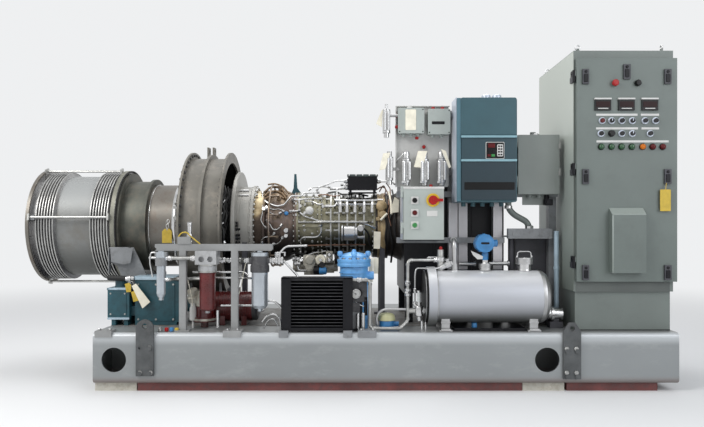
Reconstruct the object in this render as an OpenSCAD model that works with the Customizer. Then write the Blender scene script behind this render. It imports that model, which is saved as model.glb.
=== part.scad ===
// Gas turbine package on a steel skid: exhaust bellows and drum, turbine and compressor,
// filter rack, oil cooler, oil tank, drive, instrument stand and control cabinet.
// X runs along the skid, Y across it towards the far side, Z up.
// The origin is on the ground under the middle of the whole package.
// Stations are lengths along X from the skid's left end, and offsets lie along Y from its front face.

/* [Skid] */
// Length of the skid
skid_l = 3520; // [3500:10:3700]
// Width of the skid over its side beams
skid_w = 1600; // [1590:5:1640]
// Height of the side beams
beam_h = 305; // [290:5:330]
// Width of the side beams
beam_w = 305; // [295:5:320]
// Wall thickness of the beams
beam_t = 12; // [8:1:16]
// Outside corner radius of the side beams
beam_r = 28; // [20:1:32]
// Radius of the round access holes in the side beams
access_r = 74; // [50:1:90]
// Width of the cross beams
cross_w = 120; // [100:5:160]
// Thickness of the deck plate
deck_t = 8; // [6:1:12]
// Height of the red rails under the side beams
rail_h = 50; // [45:1:60]
// Width of the red rails
rail_w = 90; // [70:5:110]

/* [Lifting lugs] */
// Width of a lug plate
lug_w = 106; // [100:2:120]
// Height of a lug plate
lug_h = 338; // [320:2:345]
// Thickness of a lug plate
lug_t = 16; // [12:1:20]
// Radius of the shackle eye
lug_eye_r = 15; // [12:1:20]

/* [Exhaust] */
// Height of the turbine axis above the deck
axis_h = 645; // [635:5:665]
// Reach of the exhaust past the skid's left end
overhang = 600; // [590:5:640]
// Radius of the outlet flange
flange_r = 395; // [385:1:405]
// Radius of the outlet flange's bolt circle
flange_pcr = 372; // [368:1:376]
// Number of bolts in the outlet flange
flange_bolts = 16; // [12:4:24]
// Crest radius of the bellows
bellows_r = 378; // [370:1:382]
// Depth of a bellows convolution
bellows_depth = 28; // [20:1:30]
// Number of convolutions in each bellows
bellows_n = 7; // [5:1:8]
// Radius of the pipe between the bellows
spool_r = 350; // [346:1:352]
// Radius of the duct behind the bellows
duct_r = 315; // [308:1:320]
// Radius of the narrower duct before the drum
neck_r = 289; // [284:1:294]
// Radius of the drum's shell
drum_r = 477; // [465:1:485]
// Length of the drum over its flanges
drum_l = 278; // [260:2:290]
// Radius of the tailpipe in the drum
tail_r = 262; // [255:1:268]

/* [Engine] */
// Radius of the fire shield disc
disc_r = 380; // [360:2:400]
// Radius of the turbine casing
turbine_r = 276; // [268:1:284]
// Radius of the heat-tinted turbine band
band_r = 247; // [240:1:254]
// Radius of the combustor casing at its widest
combustor_r = 254; // [246:1:262]
// Rear radius of the compressor casing
comp_rear_r = 214; // [208:1:220]
// Front radius of the compressor casing
comp_front_r = 196; // [190:1:200]
// Number of vane stages with levers
vane_stages = 5; // [3:1:6]
// Number of levers in one stage
vane_levers = 24; // [12:2:30]

/* [Tank] */
// Outside diameter of the oil tank
tank_d = 324; // [300:2:330]
// Length of the tank's straight shell
tank_l = 650; // [600:10:700]
// Wall thickness of the tank
tank_t = 5; // [3:1:8]
// Height of the tank's axis above the deck
tank_h = 202; // [195:1:230]

/* [Cooler] */
// Width of the oil cooler
cooler_w = 432; // [400:2:450]
// Height of the oil cooler
cooler_h = 330; // [300:2:350]
// Depth of the oil cooler
cooler_d = 110; // [90:2:114]
// Number of cooler fins
cooler_fins = 14; // [8:1:18]

/* [Cabinet] */
// Width of the control cabinet
cab_w = 608; // [590:2:616]
// Height of the control cabinet
cab_h = 1714; // [1650:2:1750]
// Depth of the control cabinet's body
cab_d = 770; // [700:10:800]
// Sheet thickness of the cabinet
sheet = 3; // [2:0.5:4]
// Depth of the cabinet door
door_t = 25; // [20:1:30]
// Height of the cabinet door
door_h = 1358; // [1320:2:1370]
// Gap between a closed door and its frame
door_gap = 5; // [5:0.5:7]

/* [Hidden] */
$fn = 48;

// Seat gap left between pieces that only rest against each other
seat = 0.3;

// Overall frame
x_end = (skid_l + overhang) / 2;
skid_x0 = x_end - skid_l;
front_y = -skid_w / 2;
deck = rail_h + beam_h;
axis_z = deck + axis_h;
clear_w = skid_w - 2 * beam_w;
mid_y = skid_w / 2;

// Places a child by its station, its offset from the front face and its height
module place(s = 0, y = 0, z = 0) {
    translate([skid_x0 + s, front_y + y, z]) children();
}

// A box from its corner
module block(s, y, z, l, w, h) {
    place(s, y, z) cube([l, w, h]);
}

// Turns a profile of [radius, station] points about the turbine axis
module turn(points) {
    translate([skid_x0, 0, axis_z]) rotate([0, 90, 0]) rotate_extrude() polygon(points);
}

// A plain ring about the turbine axis
module ring(s, l, r_out, r_in) {
    turn([[r_in, s], [r_out, s], [r_out, s + l], [r_in, s + l]]);
}

// Corner points of a rounded rectangle whose lower left corner is at the origin
function rounded(w, h, r, n = 5) = [
    for (c = [[w - r, h - r, 0], [r, h - r, 90], [r, r, 180], [w - r, r, 270]])
        for (i = [0:n]) let (a = c[2] + 90 * i / n) [c[0] + r * cos(a), c[1] + r * sin(a)]
];

// Extrudes a flat outline given in Y and Z along X
module along_x(l) {
    rotate([90, 0, 90]) linear_extrude(l) children();
}

// Extrudes a flat outline given in X and Z along Y
module along_y(l) {
    translate([0, l, 0]) rotate([90, 0, 0]) linear_extrude(l) children();
}

function unit(v) = v / norm(v);

// A turn whose axes are given as unit vectors, with its origin at a point
module frame_at(x, y, z, o) {
    multmatrix([[x[0], y[0], z[0], o[0]], [x[1], y[1], z[1], o[1]], [x[2], y[2], z[2], o[2]], [0, 0, 0, 1]])
        children();
}

function across(v) = unit(cross(abs(v[2]) < 0.9 ? [0, 0, 1] : [1, 0, 0], v));

// How much of both legs a bend at point i uses up
function cut_back(p, i, bend) = i == 0 || i == len(p) - 1 ? 0
    : bend * tan(acos(unit(p[i] - p[i - 1]) * unit(p[i + 1] - p[i])) / 2);

// A collar over a tube's end
module collar(side, run, o, d) {
    frame_at(side, cross(run, side), run, o) cylinder(d = d * 1.3, h = 12, $fn = 24);
}

// A round tube through points given as [station, offset, height].
// Bends are elbows with a collar at both ends, or plain ball joints if bend is 0.
module tube(p, d, bend = 30) {
    gap = bend > 0 ? 1 : 0;
    place() {
        for (i = [0:len(p) - 2]) {
            run = unit(p[i + 1] - p[i]);
            side = across(run);
            a = i > 0 ? cut_back(p, i, bend) + gap : 0;
            b = i < len(p) - 2 ? cut_back(p, i + 1, bend) + gap : 0;
            frame_at(side, cross(run, side), run, p[i] + run * a)
                cylinder(d = d, h = norm(p[i + 1] - p[i]) - a - b, $fn = 24);
            if (bend > 0 && i > 0) collar(side, run, p[i] + run * (a - 5), d);
            if (bend > 0 && i < len(p) - 2) collar(side, run, p[i + 1] - run * (b + 7), d);
        }
        for (i = [1:1:len(p) - 2]) {
            run = unit(p[i] - p[i - 1]);
            next = unit(p[i + 1] - p[i]);
            inward = unit(next - run * (run * next));
            start = p[i] - run * cut_back(p, i, bend);
            if (bend > 0) frame_at(-inward, run, cross(run, inward), start + inward * bend)
                rotate_extrude(angle = acos(run * next), $fn = 24) translate([bend, 0]) circle(d = d);
            if (bend == 0) translate(p[i]) sphere(d = d * 1.4, $fn = 24);
        }
    }
}

// A round bar along X, Y or Z
module bar_x(s, y, z, r, l) {
    place(s, y, z) rotate([0, 90, 0]) cylinder(r = r, h = l);
}

module bar_y(s, y, z, r, l) {
    place(s, y, z) rotate([-90, 0, 0]) cylinder(r = r, h = l);
}

module bar_z(s, y, z, r, l) {
    place(s, y, z) cylinder(r = r, h = l);
}

// A hex head or nut facing along X, Y or Z
module hex_x(s, y, z, af, l) {
    place(s, y, z) rotate([0, 90, 0]) cylinder(d = af / cos(30), h = l, $fn = 6);
}

module hex_y(s, y, z, af, l) {
    place(s, y, z) rotate([-90, 0, 0]) cylinder(d = af / cos(30), h = l, $fn = 6);
}

module hex_z(s, y, z, af, l) {
    place(s, y, z) cylinder(d = af / cos(30), h = l, $fn = 6);
}

// A plate with rounded corners, standing along X or lying flat
module plate_y(s, y, z, l, t, h, r) {
    place(s, y, z) along_y(t) polygon(rounded(l, h, r));
}

module plate_z(s, y, z, l, w, t, r) {
    place(s, y, z) linear_extrude(t) polygon(rounded(l, w, r));
}

// Stations along the turbine axis
outlet_s = -overhang;
flange_t = 20;
neck_l = 31;
conv_pitch = 18.5;
bellows_l = bellows_n * conv_pitch;
spool_s = outlet_s + flange_t + neck_l + bellows_l;
spool_l = 230;
inner_bellows_s = spool_s + spool_l;
rim_s = inner_bellows_s + bellows_l + 15;
rim_l = 42;
shell_t = 4;
duct_s = rim_s + rim_l;
step_s = duct_s + 152;
drum_s = 428;
disc_s = drum_s + drum_l + 43;
disc_t = 25;
casing_l = 88;
band_s = disc_s + disc_t + casing_l + 20;
band_l = 61;
combustor_s = band_s + band_l + 9;
combustor_l = 222;
comp_s = combustor_s + combustor_l;
comp_l = 543;
frame_s = comp_s + comp_l;
frame_l = 90;
mouth_l = 95;
plenum_s = frame_s + frame_l + mouth_l;

// Stand and panels
strut_w = 36;
strut_y = 334;
post_y = strut_y + strut_w;
post_w = 60;
plenum_y = post_y + post_w + 20;

// Tank, cabinet and panel positions
tank_y = 165;
tank_s = 2072;
tank_z = deck + tank_h;
cab_s = 2912;
cab_y = 80;
cab_base = 240;
cab_z = deck + cab_base;
door_s = cab_s + 8;
door_w = cab_w - 12;
door_z = deck + 303;
door_y = cab_y - door_gap - door_t;
hinge_r = 8;
pin_r = 4;
pin_fit = 0.05;
hinge_h = 34;

// Skid

module access_holes(y) {
    for (s = [126, skid_l - 792]) bar_y(s, y - 1, rail_h + 142, access_r, beam_t + 2);
}

// One side beam: a rounded box section, capped at both ends
module side_beam(y) {
    difference() {
        place(0, y, rail_h) along_x(skid_l) polygon(rounded(beam_w, beam_h, beam_r));
        place(beam_t, y + beam_t, rail_h + beam_t)
            along_x(skid_l - 2 * beam_t)
            polygon(rounded(beam_w - 2 * beam_t, beam_h - 2 * beam_t, beam_r - beam_t));
        access_holes(y == 0 ? 0 : skid_w - beam_t);
    }
}

module skid_front_beam() {
    color("silver") side_beam(0);
}

module skid_rear_beam() {
    color("silver") side_beam(skid_w - beam_w);
}

// Hollow cross beams between the side beams
module skid_cross_beams() {
    color("silver")
        for (s = [0, 640, 1280, 1920, 2560, skid_l - cross_w]) {
            difference() {
                block(s, beam_w + seat, rail_h + 40, cross_w,
                      clear_w - 2 * seat, beam_h - 40 - deck_t - seat);
                block(s + 8, beam_w, rail_h + 48, cross_w - 16, clear_w, beam_h - 56 - deck_t - seat);
            }
        }
}

module skid_deck() {
    color("gainsboro") block(0, beam_w + seat, deck - deck_t, skid_l, clear_w - 2 * seat, deck_t);
}

// Red rails and pale end pads that carry the side beams
module support_rails() {
    color("firebrick")
        for (y = [34, skid_w - 34 - rail_w]) {
            block(260, y, 0, 2325, rail_w, rail_h - seat);
            block(2855, y, 0, 549, rail_w, rail_h - seat);
        }
}

module support_pads() {
    color("lightgray")
        for (y = [34, skid_w - 34 - rail_w], s = [2, 2588]) block(s, y, 0, 252, rail_w, rail_h - seat);
}

// Outline of a lug plate, round or pointed at the top
module lug_outline(pointed) {
    if (pointed) {
        polygon([[0, 0], [lug_w, 0], [lug_w, lug_h - 52], [lug_w - 34, lug_h], [34, lug_h], [0, lug_h - 52]]);
    } else {
        square([lug_w, lug_h - lug_w / 2]);
        translate([lug_w / 2, lug_h - lug_w / 2]) circle(d = lug_w);
    }
}

// One bolted lug plate standing off the beam's web
module lug(s, z, pointed, eye, missing) {
    difference() {
        place(s, -lug_t - seat, z) along_y(lug_t) lug_outline(pointed);
        bar_y(s + lug_w / 2, -lug_t - 1, z + eye, lug_eye_r, lug_t + 2);
        if (missing) bar_y(s + lug_w / 2 - 30, -lug_t - 1, z + 168, 8, lug_t + 2);
    }
    for (x = [-30, 30], h = [17, 168]) {
        if (!(missing && x < 0 && h > 100)) hex_y(s + lug_w / 2 + x, -lug_t - 12, z + h, 26, 12);
    }
}

module lug_pair() {
    lug(263, rail_h + 48, false, 300, true);
    lug(2820, rail_h + 30, true, 302, false);
}

module lifting_lugs() {
    color("dimgray") {
        lug_pair();
        mirror([0, 1, 0]) lug_pair();
    }
}

// Exhaust

// Points of one side of a bellows wall, n convolutions from station s
function waves(s, n, r_top, depth, k = 8) =
    [for (i = [0:n * k]) [r_top - depth / 2 - depth / 2 * cos(360 * i / k), s + conv_pitch * i / k]];

// A thin convoluted wall
module bellows(s) {
    turn(concat(waves(s, bellows_n, bellows_r, bellows_depth),
                [for (i = [bellows_n * 8:-1:0])
                    waves(s, bellows_n, bellows_r - shell_t, bellows_depth)[i]]));
}

module outlet_bellows() {
    color("silver") {
        difference() {
            ring(outlet_s, flange_t, flange_r, bellows_r - bellows_depth - shell_t);
            for (i = [0:flange_bolts - 1]) place(outlet_s - 1, skid_w / 2, axis_z)
                rotate([360 * (i + 0.5) / flange_bolts, 0, 0])
                translate([0, 0, flange_pcr]) rotate([0, 90, 0]) cylinder(r = 8, h = flange_t + 2);
        }
        ring(outlet_s + flange_t, neck_l, bellows_r - bellows_depth, bellows_r - bellows_depth - shell_t);
        bellows(outlet_s + flange_t + neck_l);
    }
}

module exhaust_spool() {
    color("tan") ring(spool_s + seat, spool_l - 2 * seat, spool_r, spool_r - shell_t);
}

module inlet_bellows() {
    color("silver") {
        bellows(inner_bellows_s);
        ring(inner_bellows_s + bellows_l, 15, bellows_r - bellows_depth, bellows_r - bellows_depth - shell_t);
        ring(rim_s, rim_l - 13 - seat, 390, bellows_r - bellows_depth - shell_t);
    }
}

// Rods that hold both bellows, with an ear at each flange
module bellows_tie_rods() {
    color("lightgray")
        for (a = [8, 72, 136, 208, 280]) place(0, skid_w / 2, axis_z) rotate([-a + 90, 0, 0]) {
            translate([outlet_s + flange_t + seat, -22, 362]) cube([12, 44, 54]);
            translate([rim_s - 12 - seat, -22, 362]) cube([12, 44, 54]);
            translate([outlet_s + flange_t + 4, 0, 398]) rotate([0, 90, 0])
                cylinder(r = 8, h = rim_s - outlet_s - flange_t - 8);
        }
}

// Duct between the bellows and the drum, with its stepped ring and clamp joint
module exhaust_duct() {
    color("dimgray") {
        ring(duct_s - 13, 20, 372, duct_r - shell_t);
        ring(duct_s, step_s - duct_s, duct_r, duct_r - shell_t);
        ring(step_s, 21, 330, neck_r + seat);
    }
}

module exhaust_neck() {
    color("gray") {
        ring(step_s, drum_s - step_s - seat, neck_r, neck_r - shell_t);
        turn([[neck_r - 1, 344], [neck_r + 14, 352], [neck_r + 14, 412], [neck_r - 1, 420]]);
    }
}

// Sheet bracket under the duct and cradle under the drum
module exhaust_supports() {
    color("gray") {
        for (y = [mid_y - 280, mid_y + 270]) {
            block(20, y, deck, 130, 10, 300);
            block(10, y - 40, deck, 136, 90, 10);
        }
        difference() {
            block(60, mid_y - 280, deck + 200, 12, 560, 260);
            bar_x(50, mid_y, axis_z, duct_r + seat, 40);
        }
        difference() {
            for (s = [drum_s + 30, drum_s + 232]) block(s, mid_y - 280, deck, 16, 560, 260);
            bar_x(drum_s, mid_y, axis_z, drum_r + seat, drum_l);
        }
        for (y = [mid_y - 270, mid_y + 220]) block(drum_s + 20, y, deck, 240, 50, 12);
    }
}

module exhaust_drum() {
    color("gray") {
        ring(drum_s, 14, 520, neck_r + 2);
        ring(drum_s, drum_l, drum_r, drum_r - shell_t);
        ring(drum_s + drum_l - 14, 14, 520, drum_r - 30);
        ring(drum_s + 130, 19, 505, drum_r - shell_t);
        for (s = [drum_s + 98, drum_s + 136]) {
            difference() {
                place(s, skid_w / 2 - 35, axis_z + drum_r - 6) cube([12, 70, 86]);
                bar_x(s - 1, skid_w / 2, axis_z + drum_r + 52, 14, 14);
            }
        }
    }
}

// Tailpipe from the turbine into the drum
module tailpipe() {
    color("saddlebrown") {
        ring(drum_s + 20, disc_s - drum_s - 20 - seat, tail_r, tail_r - shell_t);
        ring(drum_s + 20, 10, neck_r - 8, tail_r - shell_t);
    }
}

// Engine

module turbine_casing() {
    color("lightgray") {
        ring(disc_s, disc_t, disc_r, tail_r - 30);
        turn([[0, disc_s + 4], [turbine_r, disc_s + 4], [turbine_r, disc_s + disc_t + casing_l],
              [turbine_r + 9, disc_s + disc_t + casing_l], [turbine_r + 9, band_s],
              [band_r, band_s], [band_r, band_s + band_l], [0, band_s + band_l]]);
    }
}

// Combustor casing with its shoulders, end flanges and a row of burner bosses
module combustor_casing() {
    color("sienna") {
        turn([[0, band_s + band_l + seat],
              [band_r + 8, band_s + band_l + seat], [band_r + 8, combustor_s + 6],
              [232, combustor_s + 6], [238, combustor_s + 24], [250, combustor_s + 48],
              [combustor_r, combustor_s + 74], [combustor_r, combustor_s + 124],
              [248, combustor_s + 150], [236, combustor_s + 176], [226, combustor_s + 196],
              [224, combustor_s + 208], [238, combustor_s + 208], [238, comp_s - seat], [0, comp_s - seat]]);
        for (a = [0:30:330]) place(combustor_s + 98, skid_w / 2, axis_z) rotate([a + 15, 0, 0])
            translate([0, 0, combustor_r - 10]) {
                cylinder(r = 15, h = 26);
                cylinder(d = 22, h = 38, $fn = 6);
            }
    }
}

// Fuel ring with a branch to every burner
module fuel_manifold() {
    color("darkgoldenrod") {
        translate([skid_x0 + combustor_s + 40, 0, axis_z]) rotate([0, 90, 0])
            rotate_extrude() translate([combustor_r + 34, 0]) circle(r = 7, $fn = 24);
        for (a = [0:30:330]) place(combustor_s, skid_w / 2, axis_z) rotate([a + 15, 0, 0]) {
            translate([40, 0, combustor_r + 34]) rotate([0, 90, 0]) cylinder(r = 5, h = 58, $fn = 24);
            translate([98, 0, combustor_r + 28.5]) cylinder(r = 8, h = 14, $fn = 24);
        }
    }
}

function casing_r(u) = comp_rear_r + (comp_front_r - comp_rear_r) * u / comp_l;

// Compressor casing: tapered barrel with stage flanges and a split line on both sides
module compressor_casing() {
    color("darkkhaki") {
        turn([[0, comp_s], [238, comp_s], [238, comp_s + 14], [comp_rear_r, comp_s + 14],
              [casing_r(150), comp_s + 150], [casing_r(150) + 20, comp_s + 150],
              [casing_r(150) + 20, comp_s + 168], [casing_r(168), comp_s + 168],
              [casing_r(comp_l), frame_s - 14],
               [226, frame_s - 14], [226, frame_s - seat], [0, frame_s - seat]]);
        for (y = [-1, 1]) {
            place(comp_s + 10, skid_w / 2 + y * (comp_rear_r + 5) - 17, axis_z - 9) cube([142, 34, 18]);
            place(comp_s + 166, skid_w / 2 + y * 202 - 17, axis_z - 9) cube([364, 34, 18]);
        }
    }
}

// One stage of adjustable vanes: spindles with levers that reach to a ring
module vane_stage(u) {
    r = casing_r(u);
    translate([skid_x0 + comp_s + u + 30, 0, axis_z]) rotate([0, 90, 0]) rotate_extrude()
        translate([r + 22, -5]) square([8, 10]);
    for (i = [0:vane_levers - 1]) {
        a = 360 * (i + 0.5) / vane_levers;
        place(comp_s + u, skid_w / 2, axis_z) rotate([a, 0, 0]) {
            translate([0, 0, r + 0.5]) cylinder(r = 7, h = 26, $fn = 24);
            translate([-6, -5, r + 24]) cube([42, 10, 4]);
        }
    }
}

module vane_rings() {
    color("silver") for (i = [0:vane_stages - 1]) vane_stage(206 + 57 * i);
}

// Front frame and the mouth that reaches into the plenum
module front_frame() {
    color("wheat")
        turn([[0, frame_s], [226, frame_s],
              [226, frame_s + 14], [206, frame_s + 20], [212, frame_s + frame_l - 24],
              [232, frame_s + frame_l - 16], [232, frame_s + frame_l], [214, frame_s + frame_l],
              [222, frame_s + frame_l + 40], [250, plenum_s - seat], [0, plenum_s - seat]]);
}

// Saddle legs that carry the engine at both ends
module engine_mounts() {
    color("dimgray")
        for (q = [[frame_s + 32, 212, 150], [disc_s + disc_t + 34, turbine_r, 230]], k = [-1, 1]) {
            difference() {
                place(q[0], skid_w / 2 + k * q[2] - 22, deck) cube([34, 44, axis_h - 90]);
                bar_x(q[0] - 1, skid_w / 2, axis_z, q[1] + seat, 36);
            }
            place(q[0] - 30, skid_w / 2 + k * q[2] - 40, deck) cube([94, 80, 12]);
        }
}

// Inlet plenum on its legs
module inlet_plenum() {
    color("black") {
        difference() {
            block(plenum_s, plenum_y, deck + 195, 664, mid_y + 350 - plenum_y, 780);
            block(plenum_s + 4, plenum_y + 4, deck + 199, 656, mid_y + 342 - plenum_y, 772);
        }
        for (s = [plenum_s + 200, plenum_s + 450]) block(s, plenum_y - 6, deck + 195, 8, 6, 780);
        for (s = [plenum_s + 10, plenum_s + 604], y = [plenum_y + 10, mid_y + 290])
            block(s, y, deck, 50, 50, 195);
    }
}

module ignition_box() {
    color("black") {
        block(1528, mid_y - 150, axis_z + 250, 203, 100, 94);
        block(1524, mid_y - 154, axis_z + 344, 211, 108, 12);
    }
    color("ivory") for (s = [1536, 1704], y = [-144, -84]) block(s, mid_y + y, axis_z + 230, 18, 16, 22);
    color("dimgray") {
        block(1530, mid_y - 148, axis_z + 226, 199, 88, 8);
        block(1534, mid_y - 110, axis_z + 181.6, 8, 20, 46);
        block(1704, mid_y - 110, axis_z + 208, 12, 20, 20);
    }
}

// Gearbox under the compressor with its starter and pumps
module accessory_gearbox() {
    color("silver") {
        block(1220, mid_y - 110, axis_z - 345, 130, 220, 105);
        bar_z(1285, mid_y, axis_z - 242, 34, 29.6);
        bar_x(1350, mid_y - 55, axis_z - 290, 44, 80);
        bar_x(1430, mid_y - 55, axis_z - 290, 34, 26);
        bar_x(1140, mid_y - 55, axis_z - 290, 38, 80);
        bar_x(1350, mid_y + 60, axis_z - 295, 36, 60);
        bar_y(1262, mid_y - 160, axis_z - 285, 30, 50);
        bar_y(1262, mid_y - 168, axis_z - 285, 20, 8);
    }
}

module engine_pipework() {
    near = mid_y - 231;
    h = axis_z + 24;
    color("lightgray")
        tube([[comp_s + 14 + seat, near, h], [1290, near, h], [1350, near - 17, h], [1655, near - 17, h],
              [1686, near + 12, h], [frame_s - 14 - seat, near + 12, h]], 12, 20);
}

// Filter rack

// A foot pad with a lip over the beam's front edge
module foot_pad(s, l, w = 90, t = 12) {
    block(s, -8, deck, l, w, t);
    block(s, -8, deck - 27, l, 8 - seat, 28);
}

module filter_rack() {
    color("gray") {
        for (s = [502, 819]) block(s, 62, deck, 41, 41, axis_h - 155);
        block(480, 42, deck, 85, 81, 8);
        foot_pad(782, 108, 120);
        foot_pad(14, 100);
        difference() {
            block(355, 62, axis_z - 155, 717, 41, 41);
            for (s = [345, 1052])
                place(s, 60, axis_z - 165) rotate([0, s > 700 ? 45 : -45, 0]) cube([30, 45, 26]);
        }
        block(494, 56, axis_z - 114, 79, 54, 44);
    }
    color("silver") bar_z(562, 83, axis_z - 70, 13, 91);
}

// A bowl filter: head, collar and domed bowl
module bowl_filter(s, y, z_top, z_head, z_low, r_head, r_bowl) {
    bar_z(s, y, z_head, r_head, z_top - z_head);
    place(s, y, 0) rotate_extrude()
        polygon([[0, z_low], [r_bowl * 0.7, z_low + 4],
                 [r_bowl, z_low + 24], [r_bowl, z_head + 1], [0, z_head + 1]]);
    hex_z(s, y, z_low - 14, 26, 18);
}

module small_filter() {
    color("silver") {
        bowl_filter(397, 50, deck + 484, deck + 402, deck + 205, 32, 27);
        bar_z(397, 50, deck + 484, 18, 5.7);
        bar_x(397, 46, deck + 445, 15, 37);
    }
}

module red_filter() {
    color("maroon") {
        bowl_filter(672, 82, deck + 408, deck + 359, deck + 123, 56, 47);
        difference() {
            block(608, 20, deck + 408, 129, 124, 82 - seat);
            for (s = [646, 699]) bar_y(s, 19, deck + 440, 17, 30);
        }
    }
}

module silver_filter() {
    color("silver") {
        bowl_filter(992, 82, deck + 479, deck + 361, deck + 134, 53, 50);
        bar_z(992, 82, deck + 479, 20, 10.7);
        bar_x(934, 82, deck + 430, 18, 40);
    }
}

module filter_pipework() {
    color("silver") {
        tube([[434 + seat, 46, deck + 445], [608 - seat, 46, deck + 445]], 22);
        tube([[737 + seat, 124, deck + 430], [880, 124, deck + 430], [906, 82, deck + 430],
              [934 - seat, 82, deck + 430]], 22, 20);
        tube([[424 + seat, 50, deck + 316], [448, 50, deck + 316],
              [472, 122, deck + 316], [560, 122, deck + 316],
              [624, 102, deck + 316]], 16, 10);
    }
}

// Cooler, strainer and gauge

module oil_cooler() {
    color("black") {
        for (s = [1129, 1129 + cooler_w - 60]) block(s, 14, deck + 8, 60, cooler_d, cooler_h - 8);
        block(1129, 14, deck + 8, cooler_w, cooler_d, 20);
        block(1129, 14, deck + cooler_h - 20, cooler_w, cooler_d, 20);
        for (i = [0:cooler_fins - 1])
            place(1188, 26, deck + 32 + i * (cooler_h - 56) / cooler_fins) rotate([-28, 0, 0])
                cube([cooler_w - 118, 26, 5]);
        block(1188, 64, deck + 20, cooler_w - 118, cooler_d - 60, cooler_h - 30);
        foot_pad(1118, 54);
        foot_pad(1505, 51);
    }
}

module strainer() {
    color("steelblue") {
        bar_z(1569, 220, deck, 89, 390);
        bar_z(1569, 220, deck + 388, 104, 45);
        place(1569, 220, deck + 432) rotate_extrude() polygon([[0, 0], [86, 0], [80, 22], [58, 36], [0, 42]]);
        for (a = [30:60:330]) place(1569, 220, 0) rotate([0, 0, a]) {
            translate([92, 0, deck + 380]) cylinder(r = 8, h = 66, $fn = 24);
            translate([92, 0, deck + 433]) cylinder(d = 24, h = 12, $fn = 6);
        }
        for (a = [0:90:270]) place(1569, 220, 0) rotate([0, 0, a]) translate([88, 0, deck + 432]) {
            cylinder(r = 9, h = 26);
            translate([0, 0, 22]) cylinder(r = 16, h = 24);
        }
        bar_x(1650, 220, deck + 330, 26, 44);
    }
}

module pressure_gauge() {
    color("dimgray") {
        plate_y(1566, 94, deck + 175, 80, 8, 122, 6);
        block(1590, 102, deck + 8, 30, 8, 180);
        foot_pad(1592, 108, 55);
        block(1566, 60, deck, 40, 60, 8);
        bar_z(1640, 96, deck + 93, 11, 113);
    }
    color("silver") bar_y(1592, 66, deck + 231, 27, 30);
}

module start_motor() {
    y = mid_y - 400;
    color("maroon") {
        bar_x(666, y, deck + 115, 95, 240);
        bar_x(640, y, deck + 115, 70, 40);
        for (s = [700, 840]) block(s, y - 80, deck, 34, 160, 60);
        block(740, y - 30, deck + 200, 80, 70, 30);
    }
    color("silver") {
        bar_z(618, y - 150, deck, 24, 38);
        bar_z(618, y - 150, deck + 37, 72, 28);
        bar_z(618, y - 150, deck + 64, 58, 144);
        place(618, y - 150, deck + 208) rotate_extrude()
            polygon([[0, 0], [58, 0], [46, 18], [28, 32], [0, 36]]);
    }
}

// Starter unit: oil box with its lid, front control unit and a small accumulator
module start_pump() {
    y = mid_y - 380;
    front = mid_y - 500;
    color("cadetblue") {
        block(150, y - 90, deck, 270, 180, 292);
        block(420, y - 90, deck + 20, 36, 54, 265);
        bar_x(349, y, deck + 118, 40, 291 - seat);
        block(-18, front, deck + 40, 140, 160, 190);
        for (s = [4, 84]) block(s, front + 10, deck, 26, 140, 41);
        bar_z(45, front + 80, deck + 240, 38, 68);
        block(110, front + 40, deck + 60, 50, 60, 60);
    }
    color("lightgray") {
        block(-21, front - 3, deck + 230, 146, 166, 12);
        block(144, y - 96, deck + 292, 280, 192, 24);
    }
}

module drain_pump() {
    color("royalblue") {
        block(1730, 110, deck, 122, 80, 12);
        bar_z(1772, 150, deck + 11, 46, 48);
        bar_x(1800, 150, deck + 34, 15, 46);
    }
    color("ivory") place(1772, 150, deck + 58) rotate_extrude()
        polygon([[0, 0], [52, 0], [52, 12], [48, 28], [34, 40], [0, 44]]);
}

// Oil tank

module tank_shell() {
    color("silver")
        difference() {
            bar_x(tank_s, tank_y, tank_z, tank_d / 2, tank_l);
            bar_x(tank_s - 1, tank_y, tank_z, tank_d / 2 - tank_t, tank_l + 2);
        }
}

// Flanged cover at one end and a domed head at the other
module tank_ends() {
    color("lightgray") {
        bar_x(tank_s - 34, tank_y, tank_z, 184, 33.7);
        bar_x(tank_s - 68, tank_y, tank_z, 165, 35);
        for (a = [0:30:330]) place(tank_s - 46, tank_y, tank_z) rotate([a, 0, 0]) translate([0, 0, 172])
            rotate([0, 90, 0]) cylinder(d = 22, h = 13, $fn = 6);
        place(tank_s + tank_l + seat, tank_y, tank_z) rotate([0, 90, 0]) rotate_extrude()
            polygon([[0, 0], [tank_d / 2, 0], [tank_d / 2 - 1, 12],
                     [tank_d / 2 - 16, 32], [tank_d / 2 - 50, 50],
                     [tank_d / 2 - 100, 62], [0, 67]]);
    }
}

module tank_legs() {
    color("gray")
        for (s = [2102, 2640]) {
            difference() {
                block(s, tank_y - 100, deck, 50, 200, tank_h - 60);
                bar_x(s - 1, tank_y, tank_z, tank_d / 2 + seat, 52);
            }
            block(s - 14, tank_y - 120, deck, 78, 240, 10);
        }
}

module tank_fittings() {
    color("silver") {
        difference() {
            for (q = [[2631, 40], [2386, 22], [2195, 22]])
                bar_z(q[0], tank_y, tank_z + tank_d / 2 - 40, q[1], 82);
            bar_x(tank_s, tank_y, tank_z, tank_d / 2 + seat, tank_l);
        }
        bar_z(2631, tank_y, tank_z + tank_d / 2 + 40, 52, 40);
        tube([[2589, tank_y, tank_z + 230], [2589, tank_y, tank_z + 280], [2673, tank_y, tank_z + 280],
              [2673, tank_y, tank_z + 230]], 7, 16);
        bar_z(2386, tank_y, tank_z + tank_d / 2 + 16, 38, 26);
        tube([[2195, tank_y, tank_z + 198], [2195, tank_y, tank_z + 350], [2195, 290, tank_z + 350]], 30, 40);
    }
}

module level_transmitter() {
    color("royalblue") {
        bar_z(2386, tank_y, tank_z + tank_d / 2 + 42 + seat, 15, 110);
        bar_y(2378, tank_y - 50, tank_z + 332, 56, 100);
        bar_x(2421, tank_y, tank_z + 332, 22, 40);
    }
}

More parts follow.
